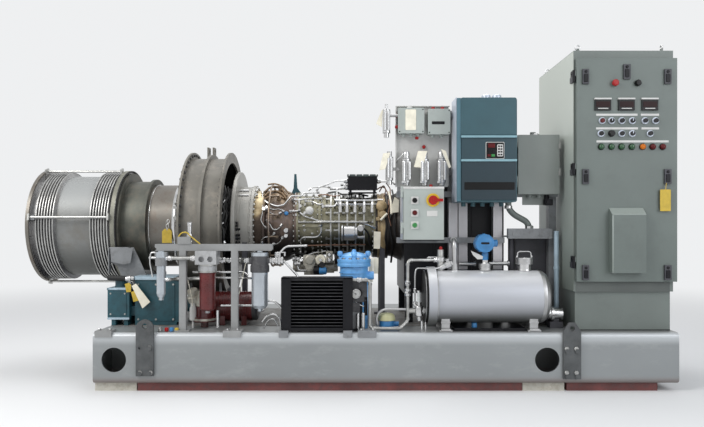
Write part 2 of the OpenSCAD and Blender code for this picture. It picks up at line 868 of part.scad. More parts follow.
module tank_pipework() {
    color("silver") {
        tube([[1561 + seat, 70, deck + 312], [1666, 70, deck + 312],
              [1666, 70, deck + 16], [1849, 70, deck + 16],
              [1898, 90, deck + 60], [1898, 90, deck + 431], [2108, tank_y, deck + 431]], 20, 24);
        difference() {
            bar_z(2108, tank_y, tank_z + tank_d / 2 - 20, 20, 150);
            bar_x(tank_s, tank_y, tank_z, tank_d / 2 + seat, tank_l);
        }
        bar_x(1898, 96, deck + 120, 15, tank_s - 68 - seat - 1898);
    }
}

// Instrument stand and panels

module instrument_stand() {
    color("gray") {
        for (s = [2189, 2253, 2480]) {
            block(s, post_y, deck, post_w - 4, post_w, 1396);
            block(s - 6, post_y - 10, deck, post_w + 8, post_w + 20, 30);
        }
        block(2843, post_y, deck, 48, post_w, 1230);
        for (z = [532, 830, 975, 1340]) block(1846, strut_y + seat, deck + z, 700, strut_w - seat, strut_w);
        for (z = [830, 1180]) block(2540, strut_y + seat, deck + z, 351, strut_w - seat, strut_w);
        block(2536, 350, deck + 570, 330, 90, 10);
    }
}

module instrument_plate() {
    color("lightgray") plate_y(1842, strut_y - 6, deck + 895, 340, 6, 520, 12);
}

module relay_boxes() {
    color("gainsboro") {
        plate_y(1850, 240, deck + 1232, 164, 94 - 6 - seat, 158, 8);
        plate_y(2040, 240, deck + 1226, 139, 94 - 6 - seat, 158, 8);
        for (s = [1886, 1932, 1978]) bar_z(s, 284, deck + 1214, 12, 18);
        for (s = [2072, 2127]) bar_z(s, 284, deck + 1208, 12, 18);
    }
}

module regulators() {
    color("silver") {
        bar_z(1776, 270, deck + 1235, 24, 150);
        bar_z(1776, 270, deck + 1380, 9, 40);
        bar_z(1776, 270, deck + 1208, 16, 30);
        bar_x(1796, 270, deck + 1348, 10, 1850 - seat - 1796);
        bar_z(1796, 290, deck + 935, 25, 150);
        bar_z(1796, 290, deck + 1080, 16, 40);
        bar_z(1796, 290, deck + 908, 14, 30);
        block(1790, 312, deck + 1000, 72, strut_y - 6 - seat - 312, 20);
        for (s = [1902, 2018, 2127]) {
            bar_z(s, 270, deck + 920, 28, 150);
            bar_z(s, 270, deck + 1066, 20, 50);
            bar_y(s, 290, deck + 990, 12, strut_y - 6 - seat - 290);
            bar_z(s, 270, deck + 900, 20, 22);
        }
    }
}

// Hollow box that is open at the front, set against its back plane
module open_box(s, y, z, l, w, h, t) {
    difference() {
        block(s, y, z, l, w, h);
        block(s + t, y - 1, z + t, l - 2 * t, w - t + 1, h - 2 * t);
    }
}

module control_box() {
    color("lightgray") open_box(1871, 153, deck + 555, 256, strut_y - 153, 328, 3);
    color("lightgray") hinge_posts(1865, 139, deck + 555, 328);
}

// Fixed knuckles with upright pins, standing beside a box
module hinge_posts(s, y, z, h) {
    for (f = [0.12, 0.8]) {
        bar_z(s, y, z + h * f, hinge_r, hinge_h);
        bar_z(s, y, z + h * f, pin_r, 2 * hinge_h);
        block(s - 6, y, z + h * f, 8, 26, hinge_h);
        block(s - 6, y + 14, z + h * f, 13, 12, hinge_h);
    }
}

// Matching knuckles on a door, bored for the pins
module hinge_knuckles(s, y, z, h) {
    difference() {
        for (f = [0.12, 0.8]) {
            bar_z(s, y, z + h * f + hinge_h + 1, hinge_r, hinge_h);
            block(s, y - 7, z + h * f + hinge_h + 1, 16, 12, hinge_h);
        }
        for (f = [0.12, 0.8]) bar_z(s, y, z + h * f + hinge_h, pin_r + pin_fit, hinge_h + 3);
    }
}

module control_box_door() {
    color("lightgray") {
        block(1875, 130, deck + 557, 250, 18, 324);
        hinge_knuckles(1865, 139, deck + 555, 328);
    }
    color("ghostwhite") for (z = [800, 723, 646]) plate_y(1921, 125, deck + z - 23, 46, 5, 46, 4);
    color("black") for (z = [800, 723, 646]) bar_y(1944, 112, deck + z, 13, 13);
    color("gold") bar_y(2057, 122, deck + 801, 41, 8);
}

module isolator_handle() {
    color("red") {
        bar_y(2057, 100, deck + 801, 28, 22 - seat);
        block(2057, 98, deck + 792, 60, 20, 18);
    }
}

module drive_housing() {
    color("slategray") {
        plate_y(2202, 115, deck + 789, 372, 200, 642, 14);
        plate_y(2230, 105, deck + 800, 330, 12, 420, 10);
        block(2240, 312, deck + 800, 300, strut_y - 312, 600);
        for (s = [2403, 2470]) bar_z(s, 220, deck + 1430, 28, 26);
        for (s = [2260:60:2500]) bar_z(s, 220, deck + 765, 14, 26);
    }
}

module junction_box() {
    color("lightgray") {
        open_box(2610, 267, deck + 843, 266, strut_y - 267, 379, 3);
        block(2660, strut_y - 6, deck + 778, 160, 6, 66);
        for (s = [2700, 2760]) bar_z(s, 300, deck + 825, 16, 18);
        bar_z(2720, 300, deck + 1222, 18, 22);
        hinge_posts(2604, 253, deck + 843, 379);
    }
}

module junction_box_door() {
    color("lightgray") {
        block(2614, 246, deck + 845, 260, 16, 375);
        hinge_knuckles(2604, 253, deck + 843, 379);
        for (z = [960, 1130]) block(2866, 240, deck + z, 14, 22, 36);
    }
}

module power_unit() {
    color("dimgray") {
        block(2642, 442, deck, 231, 200, 560);
        bar_z(2603, 400, deck, 20, 570 - seat);
        block(2603, 440, deck + 100, 60, 10, 20);
        bar_y(2603, 400, deck + 110, 12, 50);
        block(2800, 190, deck, 80, 80, 40);
        bar_x(2796, 230, deck + 87, 36, 86);
        bar_x(2812, 230, deck + 87, 48, 14);
        block(2826, 206, deck + 38, 34, 48, 30);
        bar_z(2820, 330, deck, 12, 120);
        bar_z(2820, 330, deck + 102, 30, 86);
    }
}

// Control cabinet

module cabinet_body() {
    color("gainsboro") {
        difference() {
            block(cab_s, cab_y, cab_z, cab_w, cab_d, cab_h - cab_base);
            block(cab_s + 24, cab_y - 1, door_z + 24, cab_w - 48, 30, door_h - 48);
            block(cab_s + sheet, cab_y + sheet, cab_z + sheet, cab_w - 2 * sheet, cab_d - 2 * sheet,
                  cab_h - cab_base - 2 * sheet);
        }
        block(cab_s + 13, cab_y + 16, deck, cab_w - 25, cab_d - 40, cab_base);
        for (s = [cab_s + 44, cab_s + cab_w - 44], y = [cab_y + 60, cab_y + cab_d - 60])
            bar_z(s, y, deck + cab_h, 9, 26);
    }
}

module cabinet_hinges() {
    color("dimgray")
        for (h = [83, 650, 1216]) {
            bar_z(cab_s - 4, door_y + 12, door_z + h, hinge_r, hinge_h);
            bar_z(cab_s - 4, door_y + 12, door_z + h, pin_r, 2 * hinge_h);
            block(cab_s - 10, door_y + 14, door_z + h, 9.7, 60, hinge_h);
        }
}

module cabinet_door() {
    color("gainsboro") {
        difference() {
            block(door_s, door_y, door_z, door_w, door_t, door_h);
            block(door_s + 20, door_y + sheet, door_z + 20, door_w - 40, door_t, door_h - 40);
        }
        difference() {
            for (h = [83, 650, 1216]) {
                bar_z(cab_s - 4, door_y + 12, door_z + h + hinge_h + 1, hinge_r, hinge_h);
                block(cab_s - 4, door_y + 4, door_z + h + hinge_h + 1, 14, 14, hinge_h);
            }
            for (h = [83, 650, 1216])
                bar_z(cab_s - 4, door_y + 12, door_z + h + hinge_h, pin_r + pin_fit, hinge_h + 3);
        }
        place(door_s + 198, door_y - 52, door_z + 55) difference() {
            along_x(204) polygon([[0, 0], [52, 0], [52, 392], [0, 350]]);
            translate([sheet, 0, 0]) along_x(204 - 2 * sheet)
                polygon([[sheet, -1], [52, -1], [52, 388], [sheet, 346]]);
        }
    }
}

module door_latches() {
    color("dimgray") {
        for (h = [11, 593, 1199]) {
            block(door_s + 33, door_y - 16, door_z + h, 38, 15.7, 90);
            block(door_s + 530, door_y - 16, door_z + h, 40, 15.7, 90);
        }
        block(door_s + 282, door_y - 16, door_z + 1228, 41, 15.7, 90);
    }
}

// Places a round control on the door by its distance from the door's left and lower edges
module control(x, h, r, l) {
    bar_y(door_s + x, door_y - l, door_z + h, r, l - seat);
}

module door_controls() {
    color("black") {
        for (x = [108, 251, 393]) block(door_s + x, door_y - 12, door_z + 1039, 98, 12 - seat, 65);
        for (x = [153, 210, 272, 336, 413, 477]) control(x, 977, 14, 22);
        for (x = [146, 210, 272, 336, 444]) control(x, 899, 14, 22);
        for (x = [148, 210, 271, 334, 399, 460, 521]) control(x, 819, 11, 12);
        for (x = [230, 369]) control(x, 1205, 15, 24);
    }
}

skid_front_beam();
skid_rear_beam();
skid_cross_beams();
skid_deck();
support_rails();
support_pads();
lifting_lugs();
outlet_bellows();
exhaust_spool();
inlet_bellows();
bellows_tie_rods();
exhaust_duct();
exhaust_neck();
exhaust_supports();
exhaust_drum();
tailpipe();
turbine_casing();
combustor_casing();
fuel_manifold();
compressor_casing();
vane_rings();
front_frame();
engine_mounts();
inlet_plenum();
ignition_box();
accessory_gearbox();
engine_pipework();
filter_rack();
small_filter();
red_filter();
silver_filter();
filter_pipework();
oil_cooler();
strainer();
pressure_gauge();
start_motor();
start_pump();
drain_pump();
tank_shell();
tank_ends();
tank_legs();
tank_fittings();
level_transmitter();
tank_pipework();
instrument_stand();
instrument_plate();
relay_boxes();
regulators();
control_box();
control_box_door();
isolator_handle();
drive_housing();
junction_box();
junction_box_door();
power_unit();
cabinet_body();
cabinet_hinges();
cabinet_door();
door_latches();
door_controls();
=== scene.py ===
# %% [markdown]
# # Gas turbine package
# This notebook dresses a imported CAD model. The solids already stand in metres in one frame, so every new
# piece is worked out in the same numbers as the drawing: a station along the skid, an offset from its
# front face and a height, all in millimetres.

# %% Load the frame
import bpy
import bmesh
import numpy as np
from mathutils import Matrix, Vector


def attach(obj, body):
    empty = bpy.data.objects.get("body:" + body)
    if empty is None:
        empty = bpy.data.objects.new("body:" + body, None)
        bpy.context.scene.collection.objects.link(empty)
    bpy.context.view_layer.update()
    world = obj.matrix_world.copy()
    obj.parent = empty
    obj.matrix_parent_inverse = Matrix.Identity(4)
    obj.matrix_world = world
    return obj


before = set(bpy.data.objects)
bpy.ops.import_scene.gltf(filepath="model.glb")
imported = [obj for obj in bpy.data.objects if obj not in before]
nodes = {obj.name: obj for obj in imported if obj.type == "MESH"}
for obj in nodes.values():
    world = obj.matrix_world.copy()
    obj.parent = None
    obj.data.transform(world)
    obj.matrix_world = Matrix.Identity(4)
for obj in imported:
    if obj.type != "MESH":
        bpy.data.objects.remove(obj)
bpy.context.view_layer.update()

# %% [markdown]
# ## Camera
# The picture was taken square on to the skid, at about waist height, from about four metres. A camera
# that looks level along +Y keeps every upright parallel, and a small vertical shift puts the horizon
# where the picture has it instead of tilting the camera, which would make uprights lean. The camera's
# station, distance and height are in millimetres, and its focal length is in pixels of the picture.

# %% Camera
SKID_X0, FRONT_Y, DECK = -1.46, -0.8, 355
CAMERA_S, CAMERA_BACK, CAMERA_Z = 1556, 4104, 984
FOCAL_PX, IMAGE_W, IMAGE_H = 684.0, 704.0, 427.0
CENTRE_PX, HORIZON_PX = 352, 228
SENSOR = 36


def at(s, y, z):
    """A point from its station, offset and height in mm, as metres in the model's frame."""
    return np.array([SKID_X0 + s / 1000, FRONT_Y + y / 1000, z / 1000])


cam_data = bpy.data.cameras.new("camera")
cam_data.sensor_width = SENSOR
cam_data.lens = FOCAL_PX * SENSOR / IMAGE_W
cam_data.shift_y = (HORIZON_PX - IMAGE_H / 2) / IMAGE_W
camera = bpy.data.objects.new("camera", cam_data)
bpy.context.scene.collection.objects.link(camera)
camera.location = at(CAMERA_S, -CAMERA_BACK, CAMERA_Z)
camera.rotation_euler = (np.pi / 2, 0, 0)
bpy.context.scene.camera = camera
print("lens", round(cam_data.lens, 2), "mm")

# %% [markdown]
# ## Light
# A studio look needs large, soft sources: a bright but plain world, and three area lamps that shape the
# round casings. Rays that see the set find a pale backdrop, and every other ray finds the weaker sky, so
# the background stays pale without more light on the machine. The view transform is Standard, so a colour
# comes out as it is written.

# %% Light and floor
scene = bpy.context.scene
scene.view_settings.view_transform = "Standard"
world = bpy.data.worlds.new("studio")
scene.world = world
world.use_nodes = True
sky = world.node_tree.nodes["Background"]
SKY_COLOUR, SKY_STRENGTH = (0.97, 0.98, 1.0), 0.58
BACKDROP = (0.86, 0.87, 0.88)
sky.inputs["Color"].default_value = (*SKY_COLOUR, 1)
sky.inputs["Strength"].default_value = SKY_STRENGTH
backdrop = world.node_tree.nodes.new("ShaderNodeBackground")
backdrop.inputs["Color"].default_value = (*BACKDROP, 1)


def seen_rays(tree):
    """A socket that is 1 for the rays that see the set: camera, glossy and transmission rays."""
    path = tree.nodes.new("ShaderNodeLightPath")
    seen = path.outputs["Is Camera Ray"]
    for ray in ("Is Glossy Ray", "Is Transmission Ray"):
        either = tree.nodes.new("ShaderNodeMath")
        either.operation = "MAXIMUM"
        tree.links.new(seen, either.inputs[0])
        tree.links.new(path.outputs[ray], either.inputs[1])
        seen = either.outputs[0]
    return seen


pick = world.node_tree.nodes.new("ShaderNodeMixShader")
world.node_tree.links.new(seen_rays(world.node_tree), pick.inputs["Fac"])
world.node_tree.links.new(sky.outputs["Background"], pick.inputs[1])
world.node_tree.links.new(backdrop.outputs["Background"], pick.inputs[2])
world.node_tree.links.new(pick.outputs["Shader"], world.node_tree.nodes["World Output"].inputs["Surface"])


def lamp(name, where, aim, size, power, colour=(1, 1, 1)):
    """A square area lamp at one point, turned towards another."""
    data = bpy.data.lights.new(name, "AREA")
    data.size = size
    data.energy = power
    data.color = colour
    obj = bpy.data.objects.new(name, data)
    scene.collection.objects.link(obj)
    obj.location = where
    obj.rotation_euler = (Vector(aim) - Vector(where)).to_track_quat("-Z", "Y").to_euler()
    return obj


lamp("key", (-4.0, -3.8, 4.6), (0, 0, 0.8), 2.6, 200, (1.0, 0.985, 0.96))
lamp("fill", (3.8, -4.0, 2.6), (0.5, 0, 0.7), 3.0, 70, (0.93, 0.96, 1.0))
lamp("top", (0.2, 0.8, 4.6), (0, 0, 0.6), 3.4, 90)


def stage_plane(name, corners, colour):
    """A flat sheet of the set, which isn't part of the object."""
    mesh = bpy.data.meshes.new(name)
    mesh.from_pydata(corners, [], [(0, 1, 2, 3)])
    obj = bpy.data.objects.new(name, mesh)
    scene.collection.objects.link(obj)
    mat = bpy.data.materials.new(name)
    mat.use_nodes = True
    shader = mat.node_tree.nodes["Principled BSDF"]
    shader.inputs["Base Color"].default_value = (*colour, 1)
    shader.inputs["Roughness"].default_value = 0.9
    mesh.materials.append(mat)
    return obj


FLOOR_HALF, FLOOR_PAINT = 30, (0.79, 0.80, 0.81)
FLOOR_CORNERS = [(x * FLOOR_HALF, y * FLOOR_HALF, 0) for x, y in ((-1, -1), (1, -1), (1, 1), (-1, 1))]
floor = stage_plane("floor", FLOOR_CORNERS, FLOOR_PAINT)


def fade_to_backdrop(obj, near, far, colour):
    """Turns the sheet into the backdrop's colour between near and far metres, so that no horizon line shows:
    share = seen * smoothstep((|p| - near) / (far - near)), where seen is 1 for the rays that see the set."""
    tree = obj.data.materials[0].node_tree
    add, link = tree.nodes.new, tree.links.new
    place = add("ShaderNodeTexCoord")
    length = add("ShaderNodeVectorMath")
    length.operation = "LENGTH"
    link(place.outputs["Object"], length.inputs[0])
    ramp = add("ShaderNodeMapRange")
    ramp.interpolation_type = "SMOOTHSTEP"
    ramp.inputs["From Min"].default_value, ramp.inputs["From Max"].default_value = near, far
    link(length.outputs["Value"], ramp.inputs["Value"])
    share = add("ShaderNodeMath")
    share.operation = "MULTIPLY"
    link(seen_rays(tree), share.inputs[0])
    link(ramp.outputs["Result"], share.inputs[1])
    glow, mix = add("ShaderNodeEmission"), add("ShaderNodeMixShader")
    glow.inputs["Color"].default_value = (*colour, 1)
    link(share.outputs[0], mix.inputs[0])
    link(tree.nodes["Principled BSDF"].outputs[0], mix.inputs[1])
    link(glow.outputs[0], mix.inputs[2])
    link(mix.outputs[0], tree.nodes["Material Output"].inputs["Surface"])


fade_to_backdrop(floor, near=3.0, far=9.0, colour=BACKDROP)
print("three lamps and a floor")

# %% [markdown]
# ## Surfaces from formulas
# Every new piece is a grid of points worked out with numpy. A surface of revolution and a tube along a
# path cover most of a machine, and a box with eased edges covers the rest. Each function returns points
# and faces, so many of them can be joined into one mesh before Blender sees any.

# %% Mesh from points and faces
X, Y, Z = np.eye(3)


def join(parts):
    """Stacks (points, faces) pairs and moves each pair's face numbers past those before it."""
    points, faces, start = [], [], 0
    for v, f in parts:
        points.append(v)
        if isinstance(f, np.ndarray):
            faces.extend((f + start).tolist())
        else:
            faces.extend([[i + start for i in q] for q in f])
        start += len(v)
    return np.concatenate(points), faces


def grid_faces(rows, cols, wrap):
    """Quads between neighbouring rows and columns of a grid of points; wrap closes each row on itself."""
    r = np.arange(rows - 1)[:, None]
    c = np.arange(cols if wrap else cols - 1)[None, :]
    n = (c + 1) % cols
    return np.stack([r * cols + c, r * cols + n, (r + 1) * cols + n, (r + 1) * cols + c], -1).reshape(-1, 4)


CRISP_ANGLE, SAME_POINT, NO_LENGTH = 35, 1e-6, 1e-7


def piece(name, material, parts, body="package"):
    """Joins parts into one object; poles are closed and edges above CRISP_ANGLE degrees stay crisp."""
    points, faces = join(parts)
    mesh = bpy.data.meshes.new(name)
    mesh.from_pydata(points.tolist(), [], faces)
    bm = bmesh.new()
    bm.from_mesh(mesh)
    bmesh.ops.remove_doubles(bm, verts=bm.verts, dist=SAME_POINT)
    bmesh.ops.dissolve_degenerate(bm, edges=bm.edges, dist=NO_LENGTH)
    bmesh.ops.recalc_face_normals(bm, faces=bm.faces)
    bm.to_mesh(mesh)
    bm.free()
    mesh.shade_smooth()
    mesh.set_sharp_from_angle(angle=np.radians(CRISP_ANGLE))
    mesh.materials.append(material)
    obj = bpy.data.objects.new(name, mesh)
    scene.collection.objects.link(obj)
    obj.modifiers.new("flat_faces", "WEIGHTED_NORMAL").keep_sharp = True
    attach(obj, body)
    print(name, len(mesh.polygons), "faces")
    return obj

# %% [markdown]
# A lathe turns a profile of radius and height about an axis. It makes flanges, bowls, bellows and drums.

# %% Lathe


def axes_for(axis):
    """Two directions square to an axis, and the axis itself."""
    axis = np.asarray(axis, float) / np.linalg.norm(axis)
    side = np.cross(axis, Z if abs(axis[2]) < 0.9 else X)
    side /= np.linalg.norm(side)
    return side, np.cross(axis, side), axis


def lathe(profile, centre, axis=Z, n=48):
    """Point (r, h) of the profile at angle a goes to centre + h*axis + r*(cos a*side + sin a*up), in mm."""
    p = np.asarray(profile, float) / 1000
    side, up, axis = axes_for(axis)
    a = np.radians(np.arange(n) * 360.0 / n)
    out = np.cos(a)[:, None] * side + np.sin(a)[:, None] * up
    v = centre + p[:, 1, None, None] * axis + p[:, 0, None, None] * out
    return v.reshape(-1, 3), grid_faces(len(p), n, True)


def disc_profile(r, h0, h1, ease=1.5):
    """Profile of a solid disc from height h0 to h1 with its two rims eased."""
    e = min(ease, abs(h1 - h0) / 3, r / 3)
    return [(0, h0), (r - e, h0), (r, h0 + e), (r, h1 - e), (r - e, h1), (0, h1)]


def ring_profile(r_in, r_out, h0, h1, ease=1.5):
    """Closed profile of a flat ring with its outer rims eased."""
    e = min(ease, (h1 - h0) / 3, (r_out - r_in) / 3)
    return [(r_in, h0), (r_out - e, h0), (r_out, h0 + e), (r_out, h1 - e), (r_out - e, h1), (r_in, h1),
            (r_in, h0)]


def solid(*rim):
    """Profile of a solid: the rim's points (radius, height), joined to the axis at both ends."""
    return [(0, rim[0][1]), *rim, (0, rim[-1][1])]


def disc(r, h0, h1, place, axis=Z, n=48, ease=1.5):
    """A solid disc about an axis through a (station, offset, height) place, from h0 to h1 along it."""
    return lathe(disc_profile(r, h0, h1, ease), at(*place), axis, n)


def upright(profile, s, y, n=48):
    """A lathe about a plumb line at a station and offset; the profile's heights are above the floor."""
    return lathe(profile, at(s, y, 0), Z, n)

# %% [markdown]
# Pipes, hoses and wires are one circle carried along a path. The path is first rounded at its corners,
# then each point gets a frame that turns as little as it can from the one before, so tubes don't twist.

# %% Pipe along a path


def rounded_path(points, bend, steps=6):
    """Replaces each corner by a quadratic curve that starts and ends a bend length away from it."""
    p = np.asarray(points, float)
    out = [p[0]]
    for before, corner, after in zip(p[:-2], p[1:-1], p[2:]):
        a, b = before - corner, after - corner
        la, lb = np.linalg.norm(a), np.linalg.norm(b)
        t = min(bend / 1000, la * 0.48, lb * 0.48)
        u = np.linspace(0, 1, steps)[:, None]
        out.extend((1 - u) ** 2 * (corner + a / la * t) + 2 * u * (1 - u) * corner
                   + u**2 * (corner + b / lb * t))
    out.append(p[-1])
    return np.array(out)


def sweep(path, radius, n=12, flat=1.0):
    """Carries a circle of a radius in mm, or one radius per point, along path points given in metres."""
    p = np.asarray(path, float)
    t = np.gradient(p, axis=0)
    t /= np.linalg.norm(t, axis=1)[:, None]
    side = axes_for(t[0])[0]
    sides = []
    for tangent in t:
        side = side - tangent * side.dot(tangent)
        side = side / np.linalg.norm(side)
        sides.append(side)
    sides = np.array(sides)
    ups = np.cross(t, sides)
    r = np.broadcast_to(np.asarray(radius, float) / 1000, (len(p),))
    a = np.linspace(0, 2 * np.pi, n, endpoint=False)
    ring = np.cos(a)[None, :, None] * sides[:, None] + flat * np.sin(a)[None, :, None] * ups[:, None]
    v = p[:, None] + r[:, None, None] * ring
    faces = grid_faces(len(p), n, True).tolist()
    faces += [list(range(n))[::-1], [(len(p) - 1) * n + k for k in range(n)]]
    return v.reshape(-1, 3), faces


def pipe(points, d, bend=30, n=12, steps=6):
    """A round pipe of diameter d through points given as (station, offset, height) in mm."""
    return sweep(rounded_path([at(*q) for q in points], bend, steps), d / 2, n)

# %% [markdown]
# A box with eased edges catches light the way a folded or cast part does. Its section is a rounded
# rectangle, carried up the box and drawn in at both ends along a quarter circle.

# %% Eased box


def slab(lo, hi, ease=2.0, corner=None, steps=2):
    """A box between two (station, offset, height) corners; its ends shrink by ease * (1 - sin q)."""
    lo, hi = np.minimum(at(*lo), at(*hi)), np.maximum(at(*lo), at(*hi))
    mid, half = (lo + hi) / 2, (hi - lo) / 2
    up = int(np.argmin(half))
    i, j = [k for k in range(3) if k != up]
    e = min(ease / 1000, half.min() * 0.9)
    c = max(e, min((ease if corner is None else corner) / 1000, half[i] * 0.98, half[j] * 0.98))
    q = np.linspace(0, np.pi / 2, steps + 1)
    inset = np.concatenate([e * (1 - np.sin(q)), (e * (1 - np.sin(q)))[::-1]])
    level = np.concatenate([-half[up] + e * (1 - np.cos(q)), (half[up] - e * (1 - np.cos(q)))[::-1]])
    a = (np.arange(4)[:, None] * np.pi / 2 + np.linspace(0, np.pi / 2, 4)[None]).ravel()
    sx, sy = np.repeat([1, -1, -1, 1], 4), np.repeat([1, 1, -1, -1], 4)
    r = c - inset[:, None]
    v = np.zeros((len(level), 16, 3))
    v[..., i] = mid[i] + sx * (half[i] - c) + r * np.cos(a)
    v[..., j] = mid[j] + sy * (half[j] - c) + r * np.sin(a)
    v[..., up] = (mid[up] + level)[:, None]
    faces = grid_faces(len(level), 16, True).tolist()
    faces += [list(range(16))[::-1], [(len(level) - 1) * 16 + k for k in range(16)]]
    return v.reshape(-1, 3), faces

# %% [markdown]
# Bolts and rivets repeat in rows and rings. One head is worked out once and copied to all its places in a
# single array sum.

# %% Bolts


def copies(part, places, axis_frames):
    """Copies a part, made about the origin along +Z, to places with frames of (side, up, axis) rows."""
    v, f = part
    f = np.asarray(f)
    frames = np.asarray(axis_frames)
    moved = np.einsum("pk,nkj->npj", v, frames) + np.asarray(places)[:, None]
    shift = (np.arange(len(places)) * len(v))[:, None, None]
    return moved.reshape(-1, 3), (f[None] + shift).reshape(-1, f.shape[-1])


def hex_head(af, h):
    """A hexagon of width af across flats and height h, chamfered by a smaller top."""
    r = af / 2 / np.cos(np.pi / 6)
    return lathe(solid((r, 0), (r, h * 0.8), (r * 0.86, h)), np.zeros(3), Z, 6)


def bolts(places, axis, af=20, h=10):
    """Hex heads at (station, offset, height) places, all facing along one axis."""
    frames = np.repeat(np.array(axes_for(axis))[None], len(places), 0)
    return copies(hex_head(af, h), [at(*q) for q in places], frames)


AXIS_Y, AXIS_Z = 800, 1000


def on_axis(s, r, angle):
    """Station, offset and height at a radius and angle about the turbine axis; 0 is up, 90 the near side."""
    a = np.radians(np.asarray(angle, float))
    return np.stack([np.broadcast_to(s, a.shape), AXIS_Y - r * np.sin(a), AXIS_Z + r * np.cos(a)], -1)


def bolt_circle(s, r, n, af=18, h=9, direction=1, start=0.0):
    """Hex heads on a circle about the turbine axis, facing along +X or -X."""
    return bolts(on_axis(s, r, start + np.arange(n) * 360 / n), direction * X, af, h)


def turned(profile, n=96):
    """A lathe about the turbine axis; the profile gives radius and station."""
    return lathe(profile, at(0, AXIS_Y, AXIS_Z), X, n)


print("helpers ready")

# %% [markdown]
# ## Finishes
# Paint and metal in a workshop are never one flat colour. Each finish below is the same small recipe with
# its own numbers: a broad noise shifts the colour, a worn or dirty tone breaks through where a second
# noise is high, and a fine noise drives roughness and a slight bump. All of it reads Object coordinates,
# which are metres in the model's frame, so scale 10 means spots about 10 cm across.

# %% Finish recipe


def srgb(r, g, b):
    """A colour as a screen shows it, turned into the linear numbers a shader wants."""
    c = np.array([r, g, b], float)
    return tuple(np.where(c <= 0.04045, c / 12.92, ((c + 0.055) / 1.055) ** 2.4)) + (1.0,)


def ramp(tree, factor, stops):
    """A colour ramp fed by a factor; stops are (position, linear colour)."""
    node = tree.nodes.new("ShaderNodeValToRGB")
    while len(node.color_ramp.elements) < len(stops):
        node.color_ramp.elements.new(0.5)
    for element, (position, colour) in zip(node.color_ramp.elements, stops):
        element.position = position
        element.color = colour
    tree.links.new(factor, node.inputs["Fac"])
    return node.outputs["Color"]


def noise(tree, vector, scale, detail=4.0, rough=0.55):
    """Noise that reads a vector, as a factor from 0 to 1."""
    node = tree.nodes.new("ShaderNodeTexNoise")
    node.inputs["Scale"].default_value = scale
    node.inputs["Detail"].default_value = detail
    node.inputs["Roughness"].default_value = rough
    tree.links.new(vector, node.inputs["Vector"])
    return node.outputs["Fac"]


MIX_BASE, MIX_TONE, MIX_RESULT = 6, 7, 2


def blend(tree, factor, base, tone):
    """Mixes a tone over a base colour by a factor."""
    mix = tree.nodes.new("ShaderNodeMix")
    mix.data_type = "RGBA"
    tree.links.new(factor, mix.inputs["Factor"])
    tree.links.new(base, mix.inputs[MIX_BASE])
    mix.inputs[MIX_TONE].default_value = srgb(*tone)
    return mix.outputs[MIX_RESULT]


def height_in(tree, vector):
    """The height of a vector, in metres."""
    split = tree.nodes.new("ShaderNodeSeparateXYZ")
    tree.links.new(vector, split.inputs["Vector"])
    return split.outputs["Z"]


TONE_SPREAD, GLOSS_SWING = (0.32, 0.68), 0.12
WEAR_START, WEAR_FULL = (0.60, 0.25), (0.72, 0.2)


